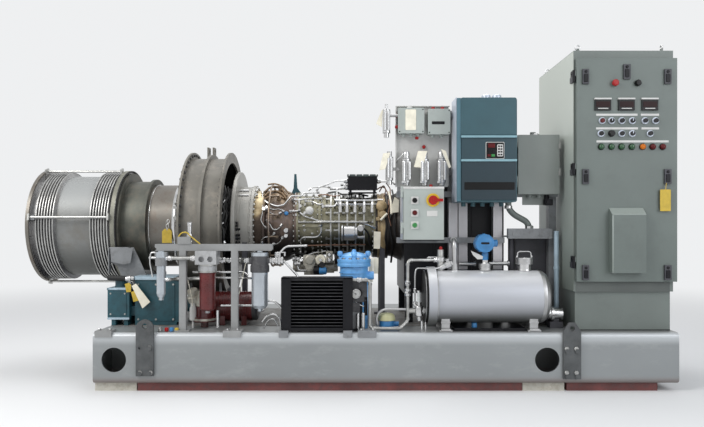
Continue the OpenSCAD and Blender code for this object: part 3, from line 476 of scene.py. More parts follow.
def finish(name, colour, rough=0.45, metal=0.0, vary=0.12, scale=6.0, worn=None, wear=0.0, wear_scale=22.0,
           fine=160.0, stretch=(1, 1, 1), bump=0.12, depth=0.0004, tones=None, coat=0.0, rise=None,
           bands=(), spec=0.5):
    """Builds one procedural finish. The noise runs through tones, rise = (height, span) lifts it with
    height, and each of bands = (from, to, colour) blends a colour in between two heights."""
    mat = bpy.data.materials.new(name)
    mat.use_nodes = True
    tree = mat.node_tree
    shader = tree.nodes["Principled BSDF"]
    shader.inputs["Metallic"].default_value = metal
    shader.inputs["Coat Weight"].default_value = coat
    shader.inputs["Specular IOR Level"].default_value = spec
    coords = tree.nodes.new("ShaderNodeTexCoord")
    mapping = tree.nodes.new("ShaderNodeMapping")
    mapping.inputs["Scale"].default_value = stretch
    tree.links.new(coords.outputs["Object"], mapping.inputs["Vector"])
    vector = mapping.outputs["Vector"]
    c = np.array(colour)
    if tones is None:
        tones = [tuple(np.clip(c * (1 - vary), 0, 1)), tuple(np.clip(c * (1 + vary), 0, 1))]
    places = np.linspace(*TONE_SPREAD, len(tones))
    factor = noise(tree, vector, scale)
    # rise lifts the tones with height; the finishes below that use it make a part lighter towards its top as
    # painted light.
    if rise is not None:
        lift = tree.nodes.new("ShaderNodeMath")
        lift.operation = "MULTIPLY_ADD"
        tree.links.new(height_in(tree, vector), lift.inputs[0])
        lift.inputs[1].default_value = 1 / rise[1]
        lift.inputs[2].default_value = -rise[0] / rise[1]
        total = tree.nodes.new("ShaderNodeMath")
        tree.links.new(lift.outputs["Value"], total.inputs[0])
        tree.links.new(factor, total.inputs[1])
        factor = total.outputs["Value"]
    base = ramp(tree, factor, [(p, srgb(*t)) for p, t in zip(places, tones)])
    if worn is not None:
        spots = ramp(tree, noise(tree, vector, wear_scale, 8.0, 0.7),
                     [(WEAR_START[0] - WEAR_START[1] * wear, (0, 0, 0, 1)),
                      (WEAR_FULL[0] - WEAR_FULL[1] * wear, (wear, wear, wear, 1))])
        base = blend(tree, spots, base, worn)
    # Most of the height bands below paint a highlight on upper faces or shade on lower ones.
    for low, high, tone in bands:
        reach = tree.nodes.new("ShaderNodeMapRange")
        reach.interpolation_type = "SMOOTHSTEP"
        reach.inputs["From Min"].default_value = low
        reach.inputs["From Max"].default_value = high
        tree.links.new(height_in(tree, coords.outputs["Object"]), reach.inputs["Value"])
        base = blend(tree, reach.outputs["Result"], base, tone)
    tree.links.new(base, shader.inputs["Base Color"])
    grain = noise(tree, vector, fine, 3.0)
    gloss = tree.nodes.new("ShaderNodeMapRange")
    gloss.inputs["To Min"].default_value = max(0.02, rough - GLOSS_SWING)
    gloss.inputs["To Max"].default_value = min(1.0, rough + GLOSS_SWING)
    tree.links.new(grain, gloss.inputs["Value"])
    tree.links.new(gloss.outputs["Result"], shader.inputs["Roughness"])
    relief = tree.nodes.new("ShaderNodeBump")
    relief.inputs["Strength"].default_value = bump
    relief.inputs["Distance"].default_value = depth
    tree.links.new(grain, relief.inputs["Height"])
    tree.links.new(relief.outputs["Normal"], shader.inputs["Normal"])
    return mat

# %% [markdown]
# Structural steel here is sprayed silver and scuffed by chains, so its worn tone is lighter than its
# paint; a band by height also paints a highlight along the beams' rounded top edge. The hot end is bare
# alloy that heat has tinted from straw through brown to violet, which a ramp of several tones along one
# noise gives without any picture. On the casings that ramp is also lifted with height and dark bands lie
# low down, so their tops carry painted light and their undersides painted shade.

# %% Finishes of the skid and the hot end
# The first band paints a highlight on the beams' rounded top edge, from 0.275 to 0.325 m; the second makes
# the beams darker and warmer towards the bottom; the third returns the deck's top face to a plain tone.
skid_silver = finish("skid_silver", (0.555, 0.57, 0.575), 0.42, 0.4, 0.035, 1.6, (0.66, 0.67, 0.67), 0.3,
                     9.0, 260, (0.6, 1, 1.4), 0.10, bands=((0.275, 0.325, (0.71, 0.725, 0.735)),
                                                           (0.10, 0.055, (0.53, 0.50, 0.49)),
                                                           (0.3535, 0.3549, (0.57, 0.58, 0.58))))
deck_paint = finish("deck_paint", (0.50, 0.50, 0.49), 0.6, 0.1, 0.12, 5, (0.33, 0.28, 0.24), 0.6, 14)
rail_red = finish("rail_red", (0.43, 0.24, 0.23), 0.62, 0.0, 0.15, 7, (0.33, 0.25, 0.25), 0.6, 30)
pad_pale = finish("pad_pale", (0.74, 0.73, 0.69), 0.8, 0.0, 0.06, 12, (0.60, 0.56, 0.50), 0.5, 40)
lug_dark = finish("lug_dark", (0.31, 0.32, 0.325), 0.5, 0.2, 0.12, 14, (0.38, 0.38, 0.38), 0.4, 36)
# The band darkens the bellows below 0.95 m towards 0.68 m: painted shade on their lower half.
bellows_steel = finish("bellows_steel", (0.74, 0.73, 0.72), 0.34, 0.6, 0.10, 5, (0.62, 0.59, 0.56), 0.4, 9,
                       200, (1, 1, 1), 0.1, tones=[(0.53, 0.53, 0.53), (0.65, 0.65, 0.65),
                                                   (0.59, 0.585, 0.58)],
                       bands=((0.95, 0.68, (0.42, 0.42, 0.43)),))
# The first band paints a highlight on the spool's top above 1.02 m, and the second paints shade on its lower
# half below 0.95 m.
spool_silver = finish("spool_silver", (0.48, 0.485, 0.48), 0.5, 0.3, 0.08, 4, (0.44, 0.42, 0.38), 0.4, 7,
                      bands=((1.02, 1.25, (0.61, 0.62, 0.62)), (0.95, 0.70, (0.37, 0.375, 0.365))))
rod_steel = finish("rod_steel", (0.70, 0.70, 0.69), 0.32, 0.85, 0.08, 20)
duct_dark = finish("duct_dark", (0.325, 0.33, 0.305), 0.5, 0.5, 0.2, 6, (0.41, 0.375, 0.33), 0.5, 12)
duct_light = finish("duct_light", (0.47, 0.455, 0.43), 0.42, 0.6, 0.12, 6, (0.36, 0.31, 0.27), 0.5, 12)
drum_grey = finish("drum_grey", (0.42, 0.41, 0.385), 0.44, 0.4, 0.10, 5, (0.56, 0.53, 0.49), 0.45, 11)
inside_black = finish("inside_black", (0.07, 0.07, 0.07), 0.75, 0.0, 0.2, 10)
turbine_steel = finish("turbine_steel", (0.625, 0.62, 0.60), 0.42, 0.45, 0.05, 8, (0.54, 0.515, 0.485), 0.4,
                       16)
# Heat tint of the combustor: the tones are the alloy's own, but rise makes them lighter towards the top and
# the band darkens the casing below 0.95 m, so the top carries painted light and the underside painted shade.
heat_tint_and_shade = finish("heat_tint_and_shade", (0.5, 0.4, 0.35), 0.44, 0.55, 0.1, 7, rise=(1.06, 1.3),
                   tones=[(0.30, 0.26, 0.24), (0.38, 0.32, 0.28), (0.42, 0.37, 0.35), (0.40, 0.35, 0.31),
                          (0.55, 0.48, 0.40)],
                   bands=((0.95, 0.84, (0.13, 0.115, 0.105)),))
# The bronze tones are the band's own; rise runs them from dark at the bottom to light at the top, a painted
# highlight above and painted shade below.
bronze_band = finish("bronze_band", (0.60, 0.50, 0.38), 0.38, 0.7, 0.1, 9, rise=(1.06, 0.7),
                     tones=[(0.27, 0.23, 0.20), (0.36, 0.31, 0.26), (0.62, 0.55, 0.43), (0.76, 0.70, 0.57)])
tube_tinted = finish("tube_tinted", (0.50, 0.45, 0.40), 0.36, 0.8, 0.12, 12,
                     tones=[(0.40, 0.35, 0.30), (0.56, 0.50, 0.44), (0.50, 0.46, 0.44)])
# The band darkens the compressor casing below 0.98 m to nearly black at 0.86 m: painted shade on its
# underside.
casing_olive = finish("casing_olive", (0.49, 0.475, 0.395), 0.44, 0.5, 0.10, 9, (0.62, 0.61, 0.54), 0.5, 24,
                      bands=((0.98, 0.86, (0.15, 0.145, 0.11)),))
bare_steel = finish("bare_steel", (0.66, 0.66, 0.65), 0.34, 0.85, 0.1, 22)
bright_steel = finish("bright_steel", (0.78, 0.78, 0.78), 0.22, 0.95, 0.06, 18)
copper = finish("copper", (0.47, 0.36, 0.30), 0.42, 0.7, 0.15, 30)
braid = finish("braid", (0.46, 0.38, 0.29), 0.5, 0.6, 0.2, 60, fine=900, bump=0.5, depth=0.0008)
front_tan = finish("front_tan", (0.66, 0.58, 0.44), 0.5, 0.15, 0.1, 9, (0.50, 0.42, 0.32), 0.5, 22)
print("skid and hot end finishes ready")

# %% [markdown]
# The rest of the package is painted or rubber: sprayed greys, a hammered blue, teal pumps, black boxes
# and pale sheet steel. Paint hardly varies, so these finishes have small shifts and almost no metal in
# them.

# %% Finishes of the auxiliaries and the electrical side
inlet_dark = finish("inlet_dark", (0.14, 0.125, 0.11), 0.5, 0.2, 0.2, 8, (0.30, 0.25, 0.20), 0.4, 20)
frame_grey = finish("frame_grey", (0.50, 0.51, 0.52), 0.45, 0.1, 0.07, 6, (0.36, 0.36, 0.36), 0.4, 26)
rack_grey = finish("rack_grey", (0.56, 0.565, 0.565), 0.45, 0.1, 0.05, 6, (0.52, 0.52, 0.52), 0.4, 26)
black_satin = finish("black_satin", (0.055, 0.056, 0.075), 0.42, 0.0, 0.15, 8, (0.11, 0.11, 0.125), 0.4, 40,
                     spec=0.25)
black_rubber = finish("black_rubber", (0.06, 0.06, 0.06), 0.6, 0.0, 0.15, 20)
gearbox_cast = finish("gearbox_cast", (0.70, 0.69, 0.65), 0.46, 0.5, 0.08, 14, (0.50, 0.45, 0.38), 0.5, 30,
                      bump=0.3)
# The bands paint a near-white highlight along the tank's top and shade along its lower side.
stainless = finish("stainless", (0.69, 0.70, 0.725), 0.38, 0.38, 0.04, 3, stretch=(0.25, 1, 1), fine=420,
                   bump=0.06, bands=((0.61, 0.71, (0.88, 0.885, 0.895)), (0.54, 0.41, (0.42, 0.425, 0.42))))
bowl_silver = finish("bowl_silver", (0.70, 0.725, 0.75), 0.22, 0.6, 0.03, 8, (0.58, 0.60, 0.625), 0.3, 20)
stainless_soft = finish("stainless_soft", (0.70, 0.70, 0.70), 0.36, 0.9, 0.06, 12)
bowl_red = finish("bowl_red", (0.34, 0.085, 0.085), 0.3, 0.1, 0.15, 9, (0.24, 0.06, 0.07), 0.5, 20,
                  coat=0.3)
head_pale = finish("head_pale", (0.66, 0.665, 0.67), 0.4, 0.3, 0.06, 12, (0.50, 0.50, 0.50), 0.4, 30)
cast_dark = finish("cast_dark", (0.27, 0.27, 0.28), 0.5, 0.3, 0.12, 18, (0.42, 0.42, 0.42), 0.4, 40,
                   bump=0.3)
housing_blue = finish("housing_blue", (0.41, 0.66, 0.88), 0.34, 0.05, 0.08, 8, (0.24, 0.44, 0.66), 0.4, 24,
                      coat=0.3)
device_blue = finish("device_blue", (0.21, 0.47, 0.68), 0.36, 0.0, 0.1, 14, coat=0.2)
pump_teal = finish("pump_teal", (0.12, 0.29, 0.33), 0.42, 0.0, 0.12, 9, (0.09, 0.21, 0.24), 0.5, 26)
cream = finish("cream", (0.93, 0.91, 0.84), 0.5, 0.0, 0.05, 20)
tag_yellow = finish("tag_yellow", (0.76, 0.65, 0.23), 0.55, 0.0, 0.06, 30)
# cabinet_grey is the door's paint made a little lighter, as painted light for the cabinet body's lit left
# side.
cabinet_grey = finish("cabinet_grey", (0.42, 0.45, 0.435), 0.42, 0.05, 0.04, 2.2, (0.37, 0.39, 0.38), 0.3,
                      8, fine=500, bump=0.08)
door_grey = finish("door_grey", (0.39, 0.425, 0.41), 0.42, 0.05, 0.04, 2.2, (0.35, 0.375, 0.365), 0.3, 8,
                   fine=500, bump=0.08)
panel_grey = finish("panel_grey", (0.50, 0.525, 0.51), 0.42, 0.05, 0.035, 4, (0.48, 0.49, 0.475), 0.3, 16,
                    fine=500, bump=0.08)
relay_grey = finish("relay_grey", (0.65, 0.68, 0.665), 0.42, 0.05, 0.035, 4, (0.61, 0.62, 0.61), 0.3, 16,
                    fine=500, bump=0.08)
plate_white = finish("plate_white", (0.80, 0.80, 0.79), 0.45, 0.0, 0.03, 10)
drive_blue = finish("drive_blue", (0.20, 0.33, 0.365), 0.42, 0.0, 0.05, 5, (0.18, 0.29, 0.32), 0.3, 18)
box_dark = finish("box_dark", (0.25, 0.25, 0.27), 0.5, 0.1, 0.1, 8)
signal_red = finish("signal_red", (0.62, 0.07, 0.07), 0.32, 0.0, 0.06, 40, spec=0.35)
signal_green = finish("signal_green", (0.14, 0.50, 0.22), 0.3, 0.0, 0.06, 40, coat=0.4)
signal_amber = finish("signal_amber", (0.78, 0.42, 0.08), 0.3, 0.0, 0.06, 40, spec=0.3)
lens_red = finish("lens_red", (0.33, 0.05, 0.06), 0.3, 0.0, 0.06, 40, spec=0.3)
display_red = finish("display_red", (0.13, 0.03, 0.035), 0.4, 0.0, 0.1, 40, spec=0.2)
ring_yellow = finish("ring_yellow", (0.84, 0.70, 0.10), 0.4, 0.0, 0.04, 40)
black_gloss = finish("black_gloss", (0.045, 0.045, 0.05), 0.32, 0.0, 0.1, 20, spec=0.25)
print("auxiliary and electrical finishes ready")

# %% [markdown]
# The CAD nodes keep their shapes. Each one only gets a finish in place of its plain colour.

# %% Finish of every CAD node
support_grey = finish("support_grey", (0.58, 0.59, 0.60), 0.45, 0.1, 0.07, 6, (0.42, 0.42, 0.42), 0.4, 26)
# Near-white paint for the posts' lit front flanges: a painted highlight.
lit_post_face = finish("lit_post_face", (0.80, 0.79, 0.80), 0.45, 0.1, 0.05, 6)
node_finish = {
    support_grey: "exhaust_supports",
    skid_silver: "skid_front_beam skid_rear_beam skid_cross_beams",
    deck_paint: "skid_deck",
    rail_red: "support_rails",
    pad_pale: "support_pads",
    lug_dark: "lifting_lugs",
    bellows_steel: "outlet_bellows inlet_bellows",
    spool_silver: "exhaust_spool",
    rod_steel: "bellows_tie_rods",
    duct_dark: "exhaust_duct tailpipe",
    duct_light: "exhaust_neck",
    frame_grey: "instrument_stand",
    rack_grey: "filter_rack",
    drum_grey: "exhaust_drum",
    turbine_steel: "turbine_casing",
    heat_tint_and_shade: "combustor_casing",
    tube_tinted: "fuel_manifold",
    casing_olive: "compressor_casing",
    bare_steel: "vane_rings engine_pipework filter_pipework tank_pipework",
    inlet_dark: "front_frame",
    black_satin: "inlet_plenum ignition_box oil_cooler pressure_gauge",
    gearbox_cast: "accessory_gearbox",
    stainless: "tank_shell",
    stainless_soft: "tank_legs tank_ends tank_fittings regulators",
    bowl_silver: "small_filter silver_filter",
    head_pale: "red_filter",
    bowl_red: "start_motor",
    housing_blue: "strainer",
    device_blue: "drain_pump level_transmitter",
    pump_teal: "start_pump",
    plate_white: "instrument_plate",
    relay_grey: "relay_boxes control_box control_box_door",
    panel_grey: "junction_box junction_box_door",
    cabinet_grey: "cabinet_body",
    door_grey: "cabinet_door",
    drive_blue: "drive_housing",
    signal_red: "isolator_handle",
    box_dark: "power_unit cabinet_hinges door_latches engine_mounts",
    black_gloss: "door_controls"}
for material, names in node_finish.items():
    for node in names.split():
        mesh = nodes[node].data
        mesh.materials.clear()
        mesh.materials.append(material)
print(sum(len(v.split()) for v in node_finish.values()), "nodes have a finish")

# %% [markdown]
# ## Tubes laid on the casing
# The engine is wrapped in small tubes that follow its round body. Each route was read off as points of
# the picture; a line of sight from the camera is met with a cylinder about the turbine axis, so a tube
# really lies that far off the casing and stays on it from every side.

# %% Line of sight onto the casing


def on_casing(px, py, r):
    """Where the line of sight through a picture point first meets radius r about the turbine axis.
    It is the smaller distance t that solves (t - away)^2 + (k t - rise)^2 = r^2, with k the line's slope."""
    k = (HORIZON_PX - py) / FOCAL_PX
    away, rise = CAMERA_BACK + AXIS_Y, AXIS_Z - CAMERA_Z
    m = away + rise * k
    reach = m * m - (1 + k * k) * (away**2 + rise**2 - r * r)
    t = (m - np.sqrt(max(reach, 0))) / (1 + k * k)
    return CAMERA_S + (px - CENTRE_PX) * t / FOCAL_PX, t - CAMERA_BACK, CAMERA_Z + k * t


def seen(px, py, y):
    """Station, offset and height of a picture point at a known offset from the front face."""
    k = (CAMERA_BACK + y) / FOCAL_PX
    return CAMERA_S + (px - CENTRE_PX) * k, y, CAMERA_Z + (HORIZON_PX - py) * k


def sighted(route):
    """Picture points, each with its offset, as (station, offset, height) points."""
    return [seen(*q) for q in route]


def casing_pipe(r, d, route, bend=16):
    """A tube of diameter d through picture points, all on radius r unless a point brings its own."""
    return pipe([on_casing(q[0], q[1], q[2] if len(q) > 2 else r) for q in route], d, bend, 10, 4)


def collars(pipes, d, width=16):
    """Fitting nuts: a short hexagon at both ends of each route of (radius, points)."""
    out = []
    for r, route in pipes:
        for end, before in ((route[0], route[1]), (route[-1], route[-2])):
            a = at(*on_casing(end[0], end[1], r))
            b = at(*on_casing(before[0], before[1], r))
            out.append(lathe(disc_profile(d * 0.62, -width * 0.2, width), a, b - a, 6))
    return out


steel_routes = [
    (264, 9, [(262.5, 192), (262.5, 214), (260.6, 220), (264, 226), (266.5, 228)]),
    (266, 9, [(262, 243.5), (262, 238.6), (265, 237.2), (272, 236.4), (274.4, 232.6)]),
    (262, 9, [(266.5, 220), (269.7, 224), (272.5, 229.6), (277.8, 229.6), (282, 224.4)]),
    (262, 9, [(282.6, 236.8), (280, 242), (276.6, 244), (272.6, 244)]),
    (268, 11, [(264.9, 200.9), (269.7, 204), (276.8, 206.5), (284, 204.9), (288.8, 199.3), (291.2, 196),
               (301.5, 196), (303.5, 193), (319, 192.5)]),
    (264, 9, [(266.5, 206.5), (269.7, 212.8), (276, 215.2), (281, 212.8)]),
    (258, 9, [(268, 207), (273, 210), (279, 208.6), (284, 211.5)]),
    (250, 9, [(289.5, 211.2), (296, 211.2), (300, 210.4)]),
    (236, 11, [(296, 203), (296, 216)]),
    (240, 11, [(299.2, 201), (299.2, 212), (304, 216), (320, 221.2), (330, 221.6), (348, 221.6)]),
    (240, 10, [(352, 221.8), (356, 222), (367.8, 224.6), (375.5, 228)]),
    (232, 13, [(300.4, 252.5), (300.4, 239.4), (303.2, 237.2), (316.7, 237.2), (320.7, 233.8),
               (321, 227.6)]),
    (262, 12, [(317, 190.4), (319, 187.3), (331, 183.3), (336, 181), (347, 181)]),
    (250, 15, [(330.3, 189), (347.6, 188.5)]),
    (246, 13, [(337, 189), (337, 203.3), (334.3, 206.5), (323.1, 206.5)]),
    (252, 10, [(341, 185), (347.6, 185)]),
    (246, 12, [(376.6, 181.6), (391, 181.6), (395.6, 184.4)]),
    (250, 14, [(281.6, 251), (286, 246.8), (307, 245.6)]),
    (238, 12, [(292, 199.6), (300, 199.8), (309, 198.6), (322, 198.8)]),
    (232, 10, [(305, 201.5), (313, 201.5), (318, 204.5), (323, 204.5)]),
    (230, 8, [(303, 226), (309, 224.8), (316, 227), (322, 225)]),
    (244, 8, [(309, 190), (312, 187.6), (322, 186.8), (330, 187.4)])]
piece("engine_tubes", bright_steel, [casing_pipe(r, d, route) for r, d, route in steel_routes]
      + collars([(r, route) for r, d, route in steel_routes], 15))

bronze_routes = [
    (266, 15, [(264.6, 192), (269.7, 187.5), (276, 186.6), (282.4, 189.8), (286.6, 196)]),
    (262, 15, [(264.6, 196), (270, 191.6), (277, 190.8), (283, 194), (286.2, 199)]),
    (258, 15, [(264.6, 199.4), (271, 195.6), (278, 195), (284, 198.6)]),
    (270, 12, [(268, 184.6), (275, 183.4), (283, 186.6), (289, 193.6)])]
piece("braided_hoses", braid, [casing_pipe(r, d, route, 24) for r, d, route in bronze_routes])
brown_routes = [
    (232, 10, [(307, 245.6), (330, 245), (365.4, 244.6)]),
    (246, 9, [(379.4, 191.6), (383.4, 184.6), (386, 190), (384, 196)]),
    (246, 9, [(377, 189.5), (381, 186.6), (384.6, 187.6), (388.4, 194), (388.6, 205)]),
    (252, 8, [(386, 183), (390, 188), (391, 200), (388, 214), (391, 226)]),
    (236, 9, [(318, 195.4), (326, 194.4), (333, 196.6), (340, 195.4)])]
piece("engine_harness", copper, [casing_pipe(r, d, route, 20) for r, d, route in brown_routes])

# %% [markdown]
# Black hoses and cables hang in the shadow under the engine and around the inlet. They are the same tubes
# with wider bends and a rubber finish.

# %% Hoses
hose_routes = [
    (244, 15, [(388, 196), (392, 210), (389, 226), (393, 244), (391, 262)]),
    (250, 12, [(392, 190), (396, 206), (394, 224), (396, 240)]),
    (240, 13, [(384, 214), (387, 224), (385, 238), (388, 252)]),
    (236, 15, [(284, 250), (290, 254), (296, 252), (303, 256)]),
    (232, 12, [(328, 193), (336, 191.6), (344, 195.6), (356, 193.4), (368, 196)]),
    (238, 10, [(346, 198.4), (354, 197.4), (363, 199), (374, 197.6)]),
    (236, 12, [(363, 228), (369, 233), (369, 243), (373, 249)])]
piece("engine_hoses", black_rubber, [casing_pipe(r, d, route, 40) for r, d, route in hose_routes])

# %% [markdown]
# Flange bolts and the small round fittings turn plain rings into real joints. Their circles follow the
# CAD flanges' stations and radii.

# %% Flange bolts
piece("casing_bolts", bare_steel, [
    bolt_circle(882, 268, 44, 14, 9), bolt_circle(862, 280, 44, 10, 5, -1),
    bolt_circle(1160, 231, 40, 13, 8, -1), bolt_circle(1188, 226, 40, 13, 8),
    bolt_circle(1324, 221, 36, 11, 7, -1), bolt_circle(1342, 220, 36, 11, 7),
    bolt_circle(1703, 216, 36, 12, 8, -1), bolt_circle(1731, 217, 36, 12, 8),
    bolt_circle(1781, 223, 32, 12, 8, -1)])

# %% [markdown]
# Variable vanes are worked by a bell-crank rail: a bar along the top and near side with a finger to every
# ring. The fingers are flat and tapered, so each is a sweep whose radius shrinks along its path.

# %% Vane rail and fingers
finger_columns = (340.3, 347.0, 355.0, 364.2, 372.2)
finger_rows = (200.6, 204.5, 208.5, 212.6)
fingers = []
for px in finger_columns:
    path = rounded_path([at(*on_casing(px, py, 250)) for py in finger_rows], 10, 4)
    fingers.append(sweep(path, np.linspace(8, 13, len(path)), 8, 0.5))
    fingers.append(disc(10, -9, 9, on_casing(px, 201, 250), X, 16))
vane_rail_routes = [[(335, 200.4), (383, 200.0)], [(336, 204.2), (381, 204.0)]]
piece("vane_rail", bright_steel, fingers + [
    casing_pipe(252, 15, vane_rail_routes[0]), casing_pipe(244, 9, vane_rail_routes[1])])

bosses = []
for s, count, r in ((1230, 22, 214), (1282, 24, 212)):
    spots = on_axis(s, r, np.arange(count) * 360 / count)
    for q, a in zip(spots, np.radians(np.arange(count) * 360 / count)):
        bosses.append(lathe(solid((9, -4), (9, 6), (6, 8), (6, 15)), at(*q), -np.sin(a) * Y + np.cos(a) * Z,
                            10))
piece("casing_bosses", bare_steel, bosses)

# %% [markdown]
# The near side carries an actuator with a round end cap, a ball valve, a nozzle with two rings and a pale
# blue plug. They are turned parts, each with its own axis.

# %% Turned fittings on the near side


def turned_at(px, py, r, profile, axis, n=28):
    """A lathe at a picture point on radius r of the casing."""
    return lathe(profile, at(*on_casing(px, py, r)), axis, n)


out_near = np.array([0, -0.9, 0.1])
vane_actuator_px = [(343.5, 233), (343, 233), (360.6, 228.4), (356, 237)]
piece("vane_actuator", stainless_soft, [
    turned_at(*vane_actuator_px[0], 262, solid((44, 0), (50, 5), (50, 70), (46, 76), (40, 78), (40, 92),
                                               (30, 96)), X, 36),
    turned_at(*vane_actuator_px[1], 262, disc_profile(55, -12, 2, 3), X, 36),
    turned_at(*vane_actuator_px[2], 268, [(0, -30), (18, -30), (18, -4), (24, 0), (24, 14), (19, 19),
                                          (0, 20)], -Y, 30),
    turned_at(*vane_actuator_px[3], 250, disc_profile(11, 0, 60), X, 16)])
ball_valve_px = (309.5, 210.6)
ball_valve_route = [(303.6, 214), (309, 211)]
piece("ball_valve", plate_white, [
    turned_at(*ball_valve_px, 262, [(0, -22), (20, -22), (27, -12), (29, 0), (26, 12), (15, 20), (0, 22)],
              out_near, 30),
    casing_pipe(252, 17, ball_valve_route)])
near_fittings_px = [(286, 230.8), (286, 236), (300.4, 206.5), (323, 206.5), (265, 210), (304, 262),
                    (307, 257)]
piece("near_fittings", bright_steel, [
    turned_at(*near_fittings_px[0], 250, disc_profile(17, -4, 14, 3), out_near, 24),
    turned_at(*near_fittings_px[1], 250, disc_profile(15, -4, 16, 3), out_near, 24),
    turned_at(*near_fittings_px[2], 236, disc_profile(12, -8, 20), out_near, 6),
    turned_at(*near_fittings_px[3], 246, disc_profile(11, -6, 16), -Y, 6),
    turned_at(*near_fittings_px[4], 256, solid((13, -10), (15, 0), (15, 22), (10, 30)), (-0.2, -0.9, 0.3),
              20),
    turned_at(*near_fittings_px[5], 240, disc_profile(15, -10, 40, 4), -Y, 20),
    turned_at(*near_fittings_px[6], 240, disc_profile(11, -10, 50, 4), X, 20)])
blue_plug_px = (286.6, 213.6)
piece("blue_plug", device_blue, [
    turned_at(*blue_plug_px, 246, solid((12, -12), (14, 0), (14, 14), (9, 20)), out_near, 20)])

# %% [markdown]
# ## Exhaust
# The drum is a rolled shell lined with black insulation, and the engine's own exhaust reaches into it
# with a gap all round. Harness loops are tied inside that gap on the near side. The pale clamp before the
# drum is a band of two pressed flanges drawn together by one bolt.

# %% Drum lining, harness loops and clamp
piece("drum_lining", inside_black, [
    turned([(470.5, 444), (472.5, 444), (472.5, 691), (470.5, 691), (470.5, 444)]),
    turned([(294, 443), (470, 443), (470, 446), (294, 446), (294, 443)]),
    turned([(262.5, 470), (266, 470), (266, 745), (262.5, 745), (262.5, 470)])])
loops = []
loop_arcs = ((700, 330, 40, 120, 16), (712, 352, 52, 104, 14), (696, 372, 48, 112, 18),
             (716, 392, 60, 98, 12), (704, 412, 50, 106, 16), (690, 350, 62, 128, 22),
             (722, 368, 44, 92, 10))
SWAY_MM, SWAYS_PER_TURN = (9, 7), (17, 23)
for s, r, a0, a1, d in loop_arcs:
    a = np.linspace(a0, a1, 40)
    wave = on_axis(s, r, a)
    wave[:, 0] += SWAY_MM[0] * np.sin(np.radians(a) * SWAYS_PER_TURN[0] + r)
    wave[:, 1:] += SWAY_MM[1] * np.cos(np.radians(a) * SWAYS_PER_TURN[1] + s)[:, None]
    loops.append(sweep(np.array([at(*q) for q in wave]), d / 2, 8))
piece("drum_loops", black_rubber, loops)
tie_places = on_axis(702, 384, np.array([56, 66, 77, 88, 97, 106]))
piece("drum_ties", bright_steel, [
    disc(7 + k % 2 * 4, -16, 16, q, (0.5, 0.2, 1 - 0.3 * k), 10) for k, q in enumerate(tie_places)])
piece("clamp_band", bright_steel, [
    turned([(289.3, 340), (299, 340), (306, 352), (306, 360), (297, 368), (297, 392), (306, 400),
            (306, 408), (299, 420), (289.3, 420)]),
    turned([(289.3, 424), (312, 424), (312, 427.8), (289.3, 427.8)]),
    turned(ring_profile(289.3, 293, 180, 186), 96)])
piece("clamp_bolt", bare_steel, [
    pipe([(372, 490, 1030), (372, 488, 1150)], 13), slab((356, 482, 1040), (388, 500, 1066), 4, 8),
    slab((356, 482, 1110), (388, 500, 1136), 4, 8), disc(12, 0, 14, (372, 490, 1024), Z, 6),
    disc(12, 0, 14, (372, 488, 1140), Z, 6), slab((392, 486, 1088), (424, 506, 1122), 3, 5)])
piece("drum_bolts", cast_dark, [
    bolt_circle(428, 500, 48, 17, 8, -1), bolt_circle(442, 500, 48, 17, 8),
    bolt_circle(692, 500, 48, 15, 7, -1)])

# %% [markdown]
# Bent sheet is everywhere on such a package: gussets, tags, shields. Each is an outline read off the
# picture at a known distance and given its thickness, with the rim drawn in a little on both faces. The
# lever under the exhaust is turned and has a rubber grip.

# %% Sheet parts


def sheet(outline, y, t, ease=1.2):
    """A plate from picture points at offset y, t mm thick; its outer loops shrink inwards by ease."""
    q = np.array([at(*seen(px, py, y)) for px, py in outline])
    mid = q.mean(0)
    inner = mid + (q - mid) * (1 - ease / 1000 / np.linalg.norm(q - mid, axis=1))[:, None]
    e, n = ease / 1000, len(q)
    v = np.concatenate([inner, q + Y * e, q + Y * (t / 1000 - e), inner + Y * t / 1000])
    return v, grid_faces(4, n, True).tolist() + [list(range(n)), [3 * n + k for k in range(n)]]


duct_gusset_outlines = [
    [(109, 256), (111.6, 247.4), (133.6, 247.4), (147.6, 277), (122, 277), (117, 266), (110, 262)],
    [(110, 248), (133, 248), (130.4, 263), (124, 264.6), (111, 262)]]
piece("duct_gusset", frame_grey, [
    sheet(duct_gusset_outlines[0], 440, 8), sheet(duct_gusset_outlines[1], 404, 6),
    slab((-44, 404, 850), (84, 446, 857), 2, 3), slab((-52, 404, 690), (-45, 446, 852), 2, 3),
    slab((30, 446, 700), (140, 520, 708), 2, 3)])
warning_tag_outline = [(162, 231.4), (164.4, 228.8), (169.6, 228.8), (171.8, 231.4), (171.8, 243),
                       (162, 243)]
piece("warning_tag", tag_yellow, [sheet(warning_tag_outline, 496, 3)])
tag_wire_route = [(166.8, 230.6, 497), (165.4, 224, 494), (167, 219.4, 496), (168.6, 223.6, 497),
                  (167.6, 230.6, 497.5)]
piece("tag_wire", bare_steel, [pipe(sighted(tag_wire_route), 3.4, 8, 8)])
piece("lever_grip", black_rubber, [
    lathe(solid((14, 0), (18, 5), (18, 112), (14, 118)), at(-24, 322, 662), (1, 0, -0.05), 28)])
piece("lever_end", bright_steel, [
    lathe(solid((14, 0), (16, 4), (16, 14), (22, 16), (22, 34), (16, 38), (12, 54)), at(92, 322, 656), X,
          28),
    lathe(solid((16, 0), (16, 20), (10, 26), (10, 62)), at(118, 330, 598), Z, 24)])
piece("bellows_strap", frame_grey, [
    slab((-560, 412, 1046), (-48, 418, 1060), 2, 3), slab((-566, 404, 1036), (-540, 424, 1070), 2, 4),
    slab((-60, 404, 1036), (-44, 424, 1070), 2, 4)])

# %% [markdown]
# Behind the fire shield the turbine casing carries a strip of black terminals on its near side, a pale
# band with its clip near the top, and the heat-tinted band that ends at the fuel tubes.

